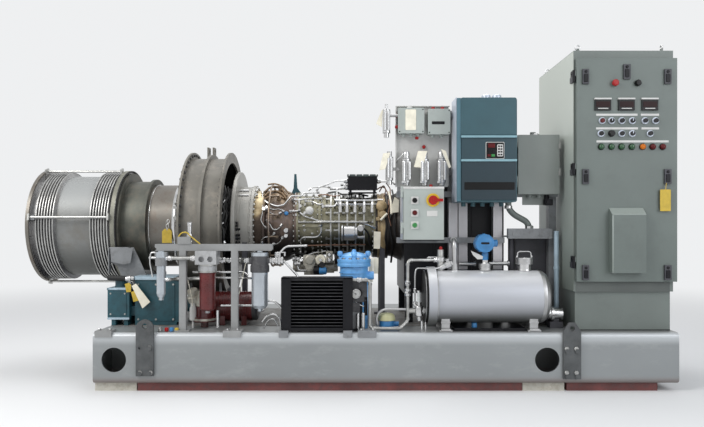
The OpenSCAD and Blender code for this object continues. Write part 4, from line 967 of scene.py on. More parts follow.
# %% Turbine casing details
piece("hot_band", bronze_band, [
    turned([(247.2, 883), (249, 883), (249, 942), (247.2, 942), (247.2, 883)]),
    turned([(247.2, 884), (252, 885), (252, 889), (247.2, 890)]),
    turned([(247.2, 932), (252, 933), (252, 938), (247.2, 939)])])
piece("terminal_strip", black_satin, [
    slab((775, 474, z), (786, 524, z + 17), 2, 3) for z in (878, 902, 926, 966, 990, 1010)]
    + [slab((788, 516, z), (800, 526, z + 15), 2, 3) for z in (880, 904, 928, 968)])
casing_strap_routes = [[(239, 190.6), (249, 190.6)], [(239, 195.2), (249, 195.2)]]
casing_strap_px = [(252, 190.8), (253, 194.8)]
piece("casing_strap", bright_steel, [
    casing_pipe(280, 14, casing_strap_routes[0]), casing_pipe(280, 9, casing_strap_routes[1]),
    turned_at(*casing_strap_px[0], 262, disc_profile(10, 0, 44, 3), X, 18),
    turned_at(*casing_strap_px[1], 262, disc_profile(8, 0, 36, 3), X, 18)])
piece("casing_seams", turbine_steel, [
    turned([(276.2, 790), (278, 791), (278, 794), (276.2, 795)]),
    turned([(276.2, 850), (279, 851), (279, 859), (276.2, 860)]),
    turned([(380.2, 750), (383, 753), (383, 770), (380.2, 773)])])

# %% [markdown]
# ## Filter rack
# Three bowl filters hang from a light frame. A bowl is a drawn cup that screws into a cast head, so it is
# turned: a straight wall, a domed floor and a drain nut. The unions between the tubes are hexagons with a
# round shoulder on both sides.

# %% Filter bowls and heads


DOME_DEPTH = 0.35


def bowl(s, y, z_top, z_low, r):
    """A drawn cup: rolled lip, straight wall and domed floor (an ellipse quarter)."""
    q = np.linspace(0, np.pi / 2, 9)
    dome = [(r * np.cos(a), z_low + r * DOME_DEPTH * (1 - np.sin(a))) for a in q]
    wall = [(0, z_top), (r + 1, z_top), (r + 3, z_top - 3), (r + 3, z_top - 8), (r, z_top - 12)]
    return upright(wall + dome[:-1] + [(0, z_low)], s, y, 48)


def union(s, y, z, r, l, axis=X):
    """A tube union l long: hexagon in the middle, round shoulders and ferrule nuts at both ends."""
    return [lathe(solid((r * 0.8, -l / 2), (r * 0.92, -l / 2 + 2), (r * 0.92, -l / 5),
                        (r * 0.72, -l / 5 + 1), (r * 0.72, l / 5 - 1), (r * 0.92, l / 5),
                        (r * 0.92, l / 2 - 2), (r * 0.8, l / 2)),
                  at(s, y, z), axis, 24),
            disc(r, -l * 0.14, l * 0.14, (s, y, z), axis, 6, 1)]


small_filter, red_filter, silver_filter = (397, 50), (672, 82), (992, 82)
sensor = (562, 83)
piece("red_bowl", bowl_red, [bowl(*red_filter, 716, 476, 48)])
piece("bowl_nuts", bare_steel, [
    disc(13, 463, 479, (*red_filter, 0), Z, 6, 2), disc(11, 474, 492, (*silver_filter, 0), Z, 6, 2),
    disc(9, 545, 562, (*small_filter, 0), Z, 6, 2), disc(58, 712, 724, (*red_filter, 0), Z, 48, 2),
    disc(58, 752, 765, (*red_filter, 0), Z, 48, 2)])
piece("filter_heads", cast_dark, [
    upright(solid((54.5, 714), (58, 718), (58, 752), (54, 758), (54, 808), (50, 828), (40, 836)),
            *silver_filter, 48),
    slab((930, 56, 768), (1054, 108, 802), 5, 8)])
piece("small_filter_head", frame_grey, [
    upright(solid((33, 754), (35, 757), (35, 800), (31, 806), (31, 838)), *small_filter, 36),
    slab((362, 30, 808), (436, 72, 838), 4, 6)])
piece("rack_sensor", bright_steel, [
    upright(solid((17, 886), (17, 902), (13.5, 906), (13.5, 996), (15.5, 998), (15.5, 1012), (9, 1018)),
            *sensor, 28),
    disc(17, 930, 946, (*sensor, 0), Z, 6, 1)])

# %% [markdown]
# The rack's tubes are drawn steel, bent on a former and joined by unions. Each run is a list of corner
# points with a bend length, so that a route can be read and changed by hand.

# %% Unions, valve and tubes of the rack
row = [(448, 46, 800, 17, 34), (594, 46, 800, 19, 34), (756, 124, 785, 19, 40), (800, 124, 785, 17, 26),
       (912, 84, 785, 18, 30), (1070, 82, 785, 19, 40)]
piece("rack_unions", bright_steel, [part for q in row for part in union(*q)] + union(1112, 82, 785, 26, 50)
      + union(1096, 82, 822, 15, 30, Z) + union(434, 50, 671, 13, 26)
      + [disc(9, 0, 34, (1112, 82, 800), Z, 20), slab((1098, 74, 832), (1152, 90, 838), 2, 6),
         slab((1140, 74, 812), (1150, 90, 838), 2, 3)])
tube_runs = [
    (16, 30, [(300, 130, 800), (480, 130, 800), (640, 140, 800)]),
    (13, 30, [(560, 170, 708), (880, 170, 708), (908, 150, 690)]),
    (13, 30, [(560, 190, 671), (884, 190, 671), (930, 150, 671)]),
    (14, 30, [(740, 150, 502), (984, 150, 502), (1010, 130, 470)]),
    (13, 40, sighted([(307, 245.8, 120), (286, 246.4, 120), (281, 251.4, 110), (277, 257, 90)])),
    (15, 30, sighted([(279, 258, 100), (285, 262, 100), (297.6, 275.6, 100), (298, 281, 90)])),
    (14, 60, sighted([(267, 301, 120), (273, 300.6, 120), (281, 306.2, 120), (284, 316, 120)])),
    (12, 60, sighted([(262, 322, 150), (267, 315.6, 150), (274, 313.8, 150), (280, 318, 150),
                      (281, 330, 150)])),
    (10, 60, sighted([(263, 330, 180), (268, 320, 180), (274, 318.6, 180), (278, 326, 180)])),
    (9, 40, sighted([(155.4, 252.4, 52), (150.6, 252.6, 52), (149.6, 262, 52), (151.4, 270, 60),
                     (152.6, 277, 70)]))]
piece("rack_tubes", bright_steel, [pipe(q, d, bend) for d, bend, q in tube_runs])
cable = sighted([(178.4, 243, 70), (178.6, 236, 68), (182, 232.4, 66), (187, 232.2, 66), (190, 236, 68),
                 (194, 239, 72), (200, 244, 80), (203, 247, 90)])
piece("sensor_cable", tag_yellow, [pipe(cable, 8, 26, 10)])
thin_hoses_routes = [
    [(187.6, 279, 150), (190, 290, 146), (192, 299, 140), (192.4, 306, 140)],
    [(246, 262, 110), (243, 275, 116), (241, 288, 120), (238, 296, 124)]]
piece("thin_hoses", cream, [
    pipe(sighted(thin_hoses_routes[0]), 7, 30), pipe(sighted(thin_hoses_routes[1]), 6, 30)])

# %% [markdown]
# The lube pumps stand behind the rack. Their bodies are cast bells and flanges, all turned, and the teal
# unit has pressed lids with a rolled edge.

# %% Pumps behind the rack
piece("pump_body", gearbox_cast, [
    upright([(0, 392), (64, 392), (74, 400), (74, 412), (58, 420), (54, 470), (60, 500), (60, 560),
             (48, 580), (30, 596), (0, 600)], 618, 250, 40),
    lathe(solid((40, 0), (44, 5), (44, 40), (34, 46), (34, 80)), at(560, 250, 520), (-0.2, -0.4, 0.9), 30),
    upright(solid((24, DECK + 0.5), (24, 392)), 618, 250, 24)])
canister_px = (193, 300)
canister = seen(*canister_px, 214)[:2]
piece("pump_canister", plate_white, [
    upright(solid((17, 400), (21, 405), (21, 480), (15, 490), (15, 512)), *canister, 28),
    upright(solid((7, 356), (7, 402)), *canister, 12)])
motor = (640, 400, 470)
piece("motor_fins", bowl_red, [
    lathe(solid((70, 0), (84, 6), (96, 20), (96, 26), (90, 30), (90, 34)), at(*motor), X, 48)]
    + [lathe(ring_profile(94, 99, s - motor[0], s - motor[0] + 4, 1), at(*motor), X, 48)
       for s in range(690, 890, 16)])
piece("motor_cap", cast_dark, [
    lathe([(0, 266), (92, 266), (92, 290), (80, 302), (0, 306)], at(*motor), X, 40),
    slab((742, 362, 572), (818, 436, 592), 4, 8)])

# %% [markdown]
# The starting pump's tank is welded sheet with pressed lids. The lids are slabs that stand a little proud
# of the CAD body, because their light edge is what makes the box read as two parts. Blank tags hang from
# it.

# %% Starter unit
lid_blue = finish("lid_blue", (0.66, 0.74, 0.79), 0.35, 0.1, 0.06, 12)
piece("unit_lids", lid_blue, [
    slab((-22, 296, 584), (126, 464, 599), 4, 12), slab((143, 323, 646), (425, 517, 672.5), 5, 8),
    slab((-19, 296.5, 394), (123, 301, 408), 2, 4)]
    + [disc(4, 0, 4, (s, 296, 591.5), -Y, 12, 1) for s in (-12, 52, 116)])
piece("unit_body", pump_teal, [
    slab((-8, 296.5, 420), (104, 300.5, 572), 3, 12), slab((162, 326, 380), (408, 330.5, 630), 3, 14),
    upright([(0, 594), (38.5, 594), (41, 598), (41, 604), (38.5, 608), (38.5, 652), (34, 662), (20, 667),
             (0, 668)], 45, 380, 40),
    lathe(solid((46, 0), (46, 12), (41, 14), (41, 180), (46, 182), (46, 194)), at(440, 420, 473), X, 40)])
piece("unit_bolts", bare_steel, [
    bolts([(s, 330, z) for s in (172, 286, 398) for z in (392, 618)], -Y, 13, 6),
    bolts([(s, 300, z) for s in (2, 94) for z in (430, 562)], -Y, 11, 5)])
paper_tags_outline = [(131.6, 286), (136, 283.6), (150.2, 302), (142.4, 308.6)]
piece("paper_tags", cream, [sheet(paper_tags_outline, 286, 2)])
tag_string_routes = [
    [(126, 281.4, 300), (128, 280, 296), (128.6, 284, 293)],
    [(129, 280.6, 298), (133, 282, 290), (134, 286, 287)]]
piece("tag_string", bare_steel, [
    pipe(sighted(tag_string_routes[0]), 2.6, 8), pipe(sighted(tag_string_routes[1]), 2.6, 8)])

# %% [markdown]
# ## Cooler, strainer and gauge
# The cooler is a stack of louvres between two folded side panels. A louvre is a long blade, so each one
# is a sweep whose section is pressed flat, and all of them are one mesh.

# %% Cooler louvres and case
blade_rows = np.linspace(392, 668, 15)
louvres = [sweep([at(1190, 20, z), at(1300, 18, z), at(1500, 20, z)], 8, 8, 0.32) for z in blade_rows]
piece("cooler_case", black_satin, louvres + [
    slab((1129, 10, 364), (1189, 16, 684), 2, 4), slab((1501, 10, 364), (1560, 16, 684), 2, 4),
    slab((1129, 10, 674), (1560, 124, 686), 3, 4), slab((1189, 10, 362), (1501, 16, 384), 2, 3)]
    + [disc(4, 0, 4, (s, 10, z), -Y, 12, 1) for s in (1140, 1178, 1512, 1550) for z in (380, 520, 660)])
piece("cooler_core", inside_black, [
    slab((1190, 58, 376), (1500, 63, 676), 1, 2)]
    + [slab((s, 50, 376), (s + 3, 58, 676), 1, 1) for s in range(1200, 1500, 12)])
piece("louvre_edges", cast_dark, [
    sweep([at(1191, 12.6, z + 3), at(1345, 12.0, z + 3), at(1499, 12.6, z + 3)], 1.6, 6)
    for z in blade_rows])

# %% [markdown]
# The strainer is a cast pot with a domed lid, lifting knobs and a ring of nuts. All of it is turned, and
# the nuts are one shape copied round a circle.

# %% Strainer lid with its lifting knobs
strainer = (1569, 220)
knob = [(0, 0), (10, 0), (10, 20), (16.5, 24), (17.5, 34), (16.5, 44), (11, 51), (0, 53)]
knobs = [lathe(knob, at(strainer[0] + 88 * dx, strainer[1] + 88 * dy, 787), Z, 24)
         for dx, dy in ((1, 0), (0, 1), (-1, 0), (0, -1))]
piece("strainer_lid", housing_blue, knobs + [
    upright([(89.3, 700), (94, 700), (94, 706), (89.3, 706)], *strainer, 64),
    upright([(89.3, 738), (97, 742), (104.4, 742), (106, 746), (106, 758), (104.4, 761), (97, 762),
             (97, 768), (106, 770), (106.5, 774), (106.5, 786), (104, 789), (88, 790)], *strainer, 64),
    upright([(86.3, 789), (82, 810), (60, 824), (30, 831.5), (0, 834)], *strainer, 64),
    upright([(0, 832), (10, 832), (14, 840), (10, 848), (0, 850)], *strainer, 24),
    lathe(solid((34, 0), (38, 4), (38, 12), (28, 16), (28, 30)), at(strainer[0], 128, 640), -Y, 32),
    slab((1500, 120, DECK + 0.5), (1638, 320, 366), 3, 8)])
piece("lid_nuts", bare_steel, [
    bolts([(strainer[0] + 92 * np.cos(a), strainer[1] + 92 * np.sin(a), 788)
           for a in np.radians(np.arange(12) * 30 + 15)], Z, 17, 10)])

# %% [markdown]
# A pressure gauge is a bright bezel with a white dial. The dial's strokes are thin parts of their own
# rather than a picture, so they stay sharp from close by. The pointer is a stroke that gets thinner.

# %% Gauge and its panel
gauge_px, gauge_y = (355.8, 293.9), 66
gs, gy, gz = seen(*gauge_px, gauge_y)
piece("gauge_rim", bright_steel, [
    lathe(solid((24, -30), (31, -24), (31, 0), (28, 3), (26, 3), (25.5, 0)), at(gs, gy, gz), -Y, 48),
    disc(9, -34, -30, (gs, gy, gz), -Y, 12),
    pipe([(gs, 92, gz - 20), (gs, 92, gz - 60), (1640, 96, gz - 84)], 8, 16)])
piece("gauge_face", plate_white, [lathe(solid((25.4, 0.2), (25.4, 0.8)), at(gs, gy, gz), -Y, 40)])
ticks = []
for k in range(25):
    a = np.radians(225 - k * 11.25)
    c, d = np.cos(a), np.sin(a)
    inner = 19.5 if k % 4 == 0 else 21.5
    ticks.append(sweep([at(gs + r * c, gy - 1, gz + r * d) for r in (inner, 24)], 0.5, 6))
a = np.radians(150)
ticks.append(sweep([at(gs + r * np.cos(a), 64.6, gz + r * np.sin(a)) for r in (-5, 20)], [1.6, 0.6], 6))
ticks.append(disc(3.4, 0, 2.2, (gs, 65.6, gz), -Y, 20, 0.6))
piece("gauge_marks", black_gloss, ticks)
piece("gauge_panel", cast_dark, [
    slab((1552, 88, 530), (1648, 94, 664), 3, 6), slab((1556, 84, 470), (1604, 92, 528), 2, 4)]
    + [disc(4, 0, 4, (s, 88, z), -Y, 12, 1) for s in (1560, 1640) for z in (540, 654)])
piece("gauge_foot", frame_grey, [slab((1556, 92, 364), (1604, 98, 470), 2, 4)])
piece("sight_vials", bright_steel, [
    upright([(0, 366), (8, 366), (10, 370), (10, 456), (7, 462), (0, 464)], 1592, 80, 24),
    upright([(0, 366), (10, 366), (12, 370), (12, 460), (9, 466), (0, 468)], 1624, 78, 24)])

# %% [markdown]
# ## Oil tank and its tubing
# The tank is bright stainless, so its seams and fittings show as thin highlights. The covered flange on
# its left end is black, and the tubes that meet it are joined with ferrule unions.

# %% Tank ends and seams
TANK_Y, TANK_Z = 165, 557
piece("tank_seams", stainless_soft, [
    lathe(ring_profile(161.5, 164, 640, 650, 1.5), at(2072, TANK_Y, TANK_Z), X, 96),
    lathe(ring_profile(161.5, 163.6, 2, 10, 1.5), at(2072, TANK_Y, TANK_Z), X, 96),
    slab((2096, 40, 356), (2158, 60, 372), 3, 5), slab((2634, 40, 356), (2696, 60, 372), 3, 5),
    slab((2098, 62, 402), (2156, 66, 414), 2, 3), slab((2636, 62, 402), (2694, 66, 414), 2, 3)])
piece("tank_cover", black_gloss, [
    lathe(solid((160, -35.5), (166.5, -30), (168, -2), (168, 0)), at(2038, TANK_Y, TANK_Z), X, 80)])
piece("flange_rim", stainless, [
    lathe([(168.5, -18), (184.4, -18), (186, -16), (186, 32), (184, 34.5), (163, 34.5), (163, 33),
           (168.5, 33), (168.5, -18)], at(2038, TANK_Y, TANK_Z), X, 96)])

# %% [markdown]
# A relief valve, a filler cap and sockets stand along the top of the tank. Valves are turned in steps
# from bar, so each is a profile of radius and height, and its hexagons are six-sided discs.

# %% Tank top fittings
piece("red_cap", signal_red, [
    upright([(0, 846), (8, 846), (10, 849), (10, 862), (7, 868), (0, 869)], 2110, TANK_Y, 24)])
piece("tank_valves", bright_steel, [
    upright(solid((21, 724), (24, 728), (24, 744), (17, 750), (17, 770), (24, 775), (24, 802), (16, 808),
                  (8, 814), (8, 832), (11, 836), (11, 846)), 2110, TANK_Y, 28),
    slab((2030, 158, 798), (2112, 172, 806), 2, 6), slab((2022, 156, 790), (2050, 174, 802), 3, 6),
    lathe(solid((13, -52), (17, -46), (17, -20), (22, -16), (22, 16), (17, 20), (17, 30)),
          at(2152, 150, 757), (0.9, 0, 0.4), 24),
    lathe([(0, 0), (12, 0), (12, 26), (16, 28), (16, 36), (0, 38)], at(2158, 150, 762), (-0.4, -0.2, 0.9),
          20),
    upright(solid((26, 717), (26, 724), (19, 728), (19, 752)), 2195, TANK_Y, 28),
    upright(solid((37, 720), (37, 736), (32, 738), (32, 764), (24, 768)), 2386, TANK_Y, 36),
    disc(18, 766, 786, (2386, TANK_Y, 0), Z, 6, 1),
    upright([(0, 718), (43, 718), (43, 724), (41, 728), (41, 790), (53, 793), (53, 797), (50, 800),
             (0, 801)], 2631, TANK_Y, 48)]
    + [part for s in (2586, 2676) for part in union(s, TANK_Y, 800, 8, 22, Z)])
fine_tubes_route = [(377.5, 326, 110), (376.4, 318, 104), (378.7, 312.4, 100), (384, 309.4, 100),
                    (417, 309.2, 100)]
piece("fine_tubes", stainless_soft, [
    pipe([(1943, 100, 488), (1943, 100, 700), (1950, 104, 737), (2080, 130, 733), (2108, 140, 742),
          (2150, 150, 757)], 10, 24),
    pipe(sighted(fine_tubes_route), 15, 60, 10)])
sight = (1968, 96)
piece("tank_unions", bright_steel, union(1898, 90, 590, 21, 46, Z) + union(1898, 90, 646, 19, 30, Z)
      + union(1943, 100, 600, 11, 30, Z) + union(1943, 100, 520, 12, 26, Z)
      + union(2080, 158, 786, 19, 34, (0.9, 0.3, 0)) + union(1600, 70, 667, 17, 30)
      + union(1990, 96, 475, 26, 50) + union(2030, 96, 475, 30, 16)
      + [upright([(0, 412), (11, 412), (15, 418), (15, 440), (26, 446), (30, 456), (30, 494), (26, 504),
                  (15, 510), (15, 530), (0, 532)], *sight, 28),
         upright(solid((7, 356), (7, 414)), 1984, 96, 14),
         upright(solid((6, 356), (6, 440)), 2008, 100, 14), disc(13, 588, 600, (*sight, 0), Z, 6)])
piece("sight_glass", finish("sight_clear", (0.78, 0.80, 0.80), 0.12, 0.1, 0.04, 20, coat=0.6), [
    upright(solid((11, 530), (11, 590)), *sight, 28)])
piece("pipe_clips", bright_steel, [
    pipe([(2247, 318, 752), (2352, 318, 752)], 28, 10, 16), disc(20, 0, 12, (2344, 318, 752), X, 24),
    pipe([(2440, 318, 755), (2572, 318, 755)], 26, 10, 16), disc(19, 0, 12, (2560, 318, 755), X, 24)])
white_tag_outline = [(470.8, 250.7), (476.4, 253), (483.1, 256.3), (482.6, 259.1), (477.5, 259.4),
                     (473, 255.2)]
piece("white_tag", plate_white, [sheet(white_tag_outline, 150, 2)])

# %% [markdown]
# The level transmitter is a die-cast head: a round body with a screwed cap at the front, ribs to grip it
# by, and a cable entry at the side.

# %% Level transmitter
head_s = 2378
piece("transmitter_head", device_blue, [
    lathe(solid((40, 0), (46, 4), (46, 14), (57, 18), (57, 84), (46, 88), (46, 98), (40, 102)),
          at(head_s, 114, 889), Y, 56),
    lathe(solid((17, 0), (20, 10), (20, 40), (16, 46)), at(2386, TANK_Y, 784), Z, 28),
    lathe(solid((24, 40), (24, 62), (18, 66), (18, 84)), at(head_s, TANK_Y, 889), X, 24)]
    + [disc(4, 20, 82, (head_s + 57 * np.cos(a), 114, 889 + 57 * np.sin(a)), Y, 8, 1)
       for a in np.radians(np.arange(0, 360, 30))])
piece("cap_marks", black_satin, [
    slab((head_s - 26, 111.5, 884), (head_s + 26, 114.5, 896), 1, 5),
    lathe(solid((13, 84), (13, 88)), at(head_s, TANK_Y, 889), X, 20)])

# %% [markdown]
# ## Drive, boxes and regulators
# The motor drive is a moulded cover in three steps with ridges between them. The lower steps are painted
# darker as shade under the ridges, and the ridges and the left bevel lighter as highlights. The boxes beside
# it are folded sheet with cable glands underneath, and the regulators carry paper tags.

# %% Drive cover
# These are copies of the drive's blue: the mid and low ones darker, painted shade on the lower steps under
# the ridges; the bevel and edge ones lighter, painted highlights on the lit left bevel and the ridges.
drive_mid = finish("drive_mid", (0.14, 0.24, 0.275), 0.42, 0.0, 0.05, 5, (0.125, 0.21, 0.24), 0.3, 18)
drive_low = finish("drive_low", (0.095, 0.175, 0.21), 0.42, 0.0, 0.05, 5, (0.085, 0.155, 0.185), 0.3, 18)
drive_bevel = finish("drive_bevel", (0.29, 0.43, 0.48), 0.4, 0.0, 0.05, 5)
drive_edge = finish("drive_edge", (0.50, 0.64, 0.68), 0.4, 0.05, 0.05, 5)
# A pale blue-white: painted light on the lit left sides of the drive and the control box and on the drive's
# domes, and also the real pale rings of the selectors.
lit_sides_and_pale_rings = finish("lit_sides_and_pale_rings", (0.76, 0.79, 0.84), 0.34, 0.3, 0.04, 5)
DRIVE_S0, DRIVE_S1, DRIVE_EDGE = 2226, 2570, 4
piece("drive_top", drive_blue, [slab((DRIVE_S0, 103.5, 1556), (DRIVE_S1, 116, 1788), 4, 12, 4)])
# The two lower steps take the darker copies of the blue: painted shade under the ridges.
piece("drive_middle", drive_mid, [
    slab((DRIVE_S0 + DRIVE_EDGE, 103.8, 1406), (DRIVE_S1 - DRIVE_EDGE, 106, 1538), 1, 3)])
piece("drive_lower", drive_low, [
    slab((DRIVE_S0 + DRIVE_EDGE, 101.5, 1157), (DRIVE_S1 - DRIVE_EDGE, 106, 1394), 2, 4)])
# The ridges and the left bevel take the lighter copies: painted highlights.
piece("drive_ridges", drive_edge, [
    slab((DRIVE_S0, 93, z), (DRIVE_S1, 106, z + 14), 3, 4) for z in (1539, 1393)])
piece("drive_bevels", drive_bevel, [slab((2201.5, 108, 1148), (2227, 117, 1786), 3, 4)])
# The drive's left side, its screw heads and the two domes on top take the pale tone: painted light.
piece("drive_side", lit_sides_and_pale_rings, [
    slab((2199.5, 126, 1146), (2203, 314, 1795), 1, 3)]
    + [disc(7, 0, 3, (2199.5, y, z), -X, 12) for y in (150, 290) for z in (1261, 1704)]
    + [lathe([(0, 0), (30, 0), (30, 28), (28, 36), (18, 43), (0, 46)], at(s, 220, 1784), Z, 32)
       for s in (2403, 2470)])
piece("drive_keypad", black_gloss, [
    slab((2247, 99.5, 1219), (2556, 102, 1266), 1, 4), slab((2381, 98, 1412), (2490, 104.5, 1510), 3, 5)])
piece("keypad_rim", plate_white, [
    slab((2378, 100, 1409), (2493, 104.4, 1513), 2, 5), slab((2448, 96.5, 1424), (2484, 98.5, 1498), 1, 6)])
piece("keypad_display", lens_red, [
    slab((2392, 96.5, 1478), (2435, 98.5, 1504), 1, 2), slab((2388, 95, 1422), (2409, 98.5, 1438), 2, 3)])
piece("keypad_start", signal_green, [slab((2412, 95, 1422), (2434, 98.5, 1438), 2, 3)])
piece("keypad_keys", black_satin, [
    slab((s, 95, z), (s + 9, 98.5, z + 9), 1, 2) for s in (2392, 2407, 2422) for z in (1444, 1459)]
    + [slab((2453 + 15 * i, 94.5, 1430 + 17 * j), (2464 + 15 * i, 97, 1440 + 17 * j), 1, 2)
       for i in range(2) for j in range(4)])

# %% [markdown]
# Relay boxes are cast or folded, with screwed lids. A thin slab with round corners gives each lid its
# seam, red caps close the unused entries, and blank tags hang beside the regulators.

# %% Relay boxes, tags and plugs
piece("box_plugs", signal_red, [
    lathe([(0, 0), (10, 0), (12, 3), (12, 12), (8, 18), (0, 19)], at(s, y, z), d, 20)
    for s, y, z, d in ((2076, 284, 1742, Z), (2137, 284, 1742, Z), (1850, 284, 1704, -X),
                       (1850, 284, 1632, -X), (1972, 284, 1570, -Z), (2020, 322, 1508, -Y),
                       (2333, 220, 1785, Z), (2060, 262, 1244, Z))])
piece("box_trim", plate_white, [
    disc(19, 0, 5, (s, 284, 1739), Z, 28) for s in (2076, 2137)]
    + [lathe([(0, 0), (20, 0), (20, 8), (15, 17), (0, 21)], at(1925, 284, 1744), Z, 28),
       slab((1837, 302, 1248), (1843, 336, 1772), 2, 3), slab((1837, 302, 1766), (2186, 334, 1772), 2, 3)])
piece("box_seams", relay_grey, [
    slab((1848, 236, 1585), (2016, 241, 1747), 2, 8), slab((2038, 236, 1579), (2181, 241, 1741), 2, 8)])
lid_screws = ((1858, 1596), (2006, 1596), (2006, 1737), (2172, 1590), (2172, 1730), (2048, 1590))
piece("box_strip", black_satin, [slab((2063, 234.5, 1642), (2144, 237, 1661), 1, 3)]
      + [disc(4, 0, 3, (s, 236, z), -Y, 10) for s, z in lid_screws])
card_tags_outlines = [
    [(418, 151), (427.3, 151), (422.3, 167.7), (413.9, 167)],
    [(441, 149), (446, 151), (451, 167), (449, 168.3)],
    [(382.8, 109.1), (381.3, 111.2), (376, 123.8), (381.8, 127)],
    [(383.2, 153.4), (390.4, 152.5), (385.3, 169.1), (379.2, 170.4)]]
piece("card_tags", cream, [
    slab((1895, 233, 1605), (1963, 235.5, 1736), 1, 6), sheet(card_tags_outlines[0], 232, 1.5),
    sheet(card_tags_outlines[1], 232, 1.5), sheet(card_tags_outlines[2], 262, 1.5),
    sheet(card_tags_outlines[3], 258, 1.5)])
regulator_body = [(0, 1272), (12, 1272), (12, 1288), (24, 1290), (24, 1306), (29, 1310), (29, 1320),
                  (25, 1324), (25, 1410), (29.5, 1414), (29.5, 1424), (22, 1430), (22, 1462), (16, 1474),
                  (0, 1476)]
right_tube = [(0, 1290), (9, 1290), (10, 1296), (10, 1400), (8, 1406), (0, 1407)]
left_tube = [(0, 1278), (11, 1278), (12, 1284), (12, 1404), (9, 1410), (0, 1411)]
piece("regulator_parts", bright_steel, [
    part for s in (1902, 2018, 2127) for part in (
        upright(regulator_body, s, 270, 36), upright(right_tube, s + 19, 240, 20),
        upright(left_tube, s - 17, 240, 20), disc(15, 1268, 1282, (s - 17, 240, 0), Z, 6))]
    + [upright([(0, z), (17, z), (17, z + 26), (25, z + 30), (25, z + 42), (22, z + 46), (22, z + 150),
                (25.5, z + 154), (25.5, z + 172), (17, z + 178), (10, z + 184), (10, z + 206),
                (0, z + 208)], q, y, 32) for q, y, z in ((1776, 270, 1562), (1796, 290, 1262))]
    + [upright([(0, z + 44), (9, z + 44), (9, z + 168), (0, z + 169)], q, y, 16)
       for q, y, z in ((1764, 247, 1562), (1788, 247, 1562), (1786, 266, 1262), (1808, 268, 1262))]
    + [pipe([(1902, 262, 1470), (1880, 250, 1455), (1845, 280, 1418), (1842, 330, 1400)], 9, 10)])

# %% [markdown]
# Lamps and buttons sit on the box's door under a rain strip. These pieces take the door's body.

# %% Control box face
piece("control_plates", plate_white, [
    slab((1920.5, 124, z - 24), (1967.5, 126.5, z + 24), 1, 5) for z in (1155, 1078, 1001)]
    + [slab((2019, 127, 1056), (2085, 130.5, 1091), 1, 3),
       slab((1873, 127.5, 1226), (2127, 131, 1240), 1.5, 3)],
    body="control_box_door")
button = [(0, 0), (15.5, 0), (15.5, 6), (13.6, 7), (13.6, 15), (11, 19), (0, 20)]
piece("button_black", black_gloss, [
    lathe(button, at(1944, 125.5, 1155), -Y, 28), slab((1942, 103.5, 1150), (1946, 106.5, 1168), 1, 1.5),
    slab((1873, 128.5, 906), (2127, 132, 911), 1, 2)], body="control_box_door")
piece("button_red", lens_red, [lathe(button, at(1944, 125.5, 1078), -Y, 28)],
      body="control_box_door")
piece("button_green", signal_green, [lathe(button, at(1944, 125.5, 1001), -Y, 28)],
      body="control_box_door")
piece("isolator_ring", ring_yellow, [
    lathe(ring_profile(29.5, 42.5, 0, 9, 3), at(2057, 130.4, 1156), -Y, 56)],
    body="control_box_door")

# %% [markdown]
# The junction box has a folded lip and clasps on its door. The stand's posts pass through bright sleeves,
# which are slabs a little wider than the post.

# %% Junction box and stand fittings
piece("junction_lip", panel_grey, [slab((2612, 243.5, 1199), (2876, 248, 1577), 2, 4)],
      body="junction_box_door")
piece("box_clasps", bare_steel, [
    slab((2868, 236, z), (2884, 250, z + 30), 3, 4) for z in (1318, 1488)]
    + [slab((2872, 233, z + 6), (2880, 238, z + 44), 2, 3) for z in (1318, 1488)],
    body="junction_box_door")
piece("socket_box", black_satin, [
    slab((2794, 288, 1130), (2848, 335, 1170), 4, 8), disc(15, 0, 30, (2812, 312, 1169), Z, 20),
    disc(20, 0, 10, (2821, 288, 1150), -Y, 24)])
post_stations = (2189, 2253, 2480)
piece("post_sleeves", stainless_soft, [
    slab((s - 2, 367.5, 716), (s + 58.5, 432.5, 806), 2, 4) for s in post_stations]
    + [lathe([(0, 0), (30, 0), (30, 10), (22, 16), (0, 18)], at(2732, 300, 1575), Z, 32)])

# %% [markdown]
# ## Control cabinet
# A folded steel cabinet with a full door. The meters have dark windows, the selectors sit in pale rings
# and the pilot lights have domed lenses. The strips beside them are plain.

# %% Door skin, latches and eye bolts
DOOR_S, DOOR_Z = 2920, 658
piece("door_skin", door_grey, [
    slab((2919.5, 48.3, 657.5), (3531, 51, 2016.5), 1.2, 3),
    slab((3517, 49, 658), (3531, 74, 2016), 1.2, 2)], body="cabinet_door")
latch_places = [(s, z) for s in (2954, 3451) for z in (669, 1251, 1857)] + [(3203, 1886)]
piece("latch_keys", black_satin, [
    part for s, z in latch_places for part in (
        slab((s + 5, 29.5, z + 10), (s + 31, 35, z + 60), 3, 5),
        lathe(solid((9, 0), (9, 4), (7, 5)), at(s + 18, 34.5, z + 74), -Y, 20))],
    body="cabinet_door")
ring = [(15 + 4.5 * np.cos(a), 4.5 * np.sin(a)) for a in np.linspace(0, 2 * np.pi, 13)]
piece("eye_bolts", bright_steel, [
    part for s, y, axis in ((2956, 140, Y), (3476, 140, X), (2956, 790, Y), (3476, 790, X))
    for part in (lathe(ring, at(s, y, 2102), axis, 28),
                 upright(solid((20, 2068), (20, 2072), (11, 2076), (7, 2090)), s, y, 24))])
piece("yellow_tag", tag_yellow, [
    slab((3419, 31, 1086), (3484, 33.5, 1217), 1, 4),
    pipe([(3451, 31, 1208), (3453, 29, 1236), (3458, 33, 1256)], 4, 6, 8)],
    body="cabinet_door")

# %% [markdown]
# Everything on the door repeats in rows, so a row is a height with a list of columns, both measured from
# the door's lower left corner. Lenses and knobs are one profile each, set at every place of their row.

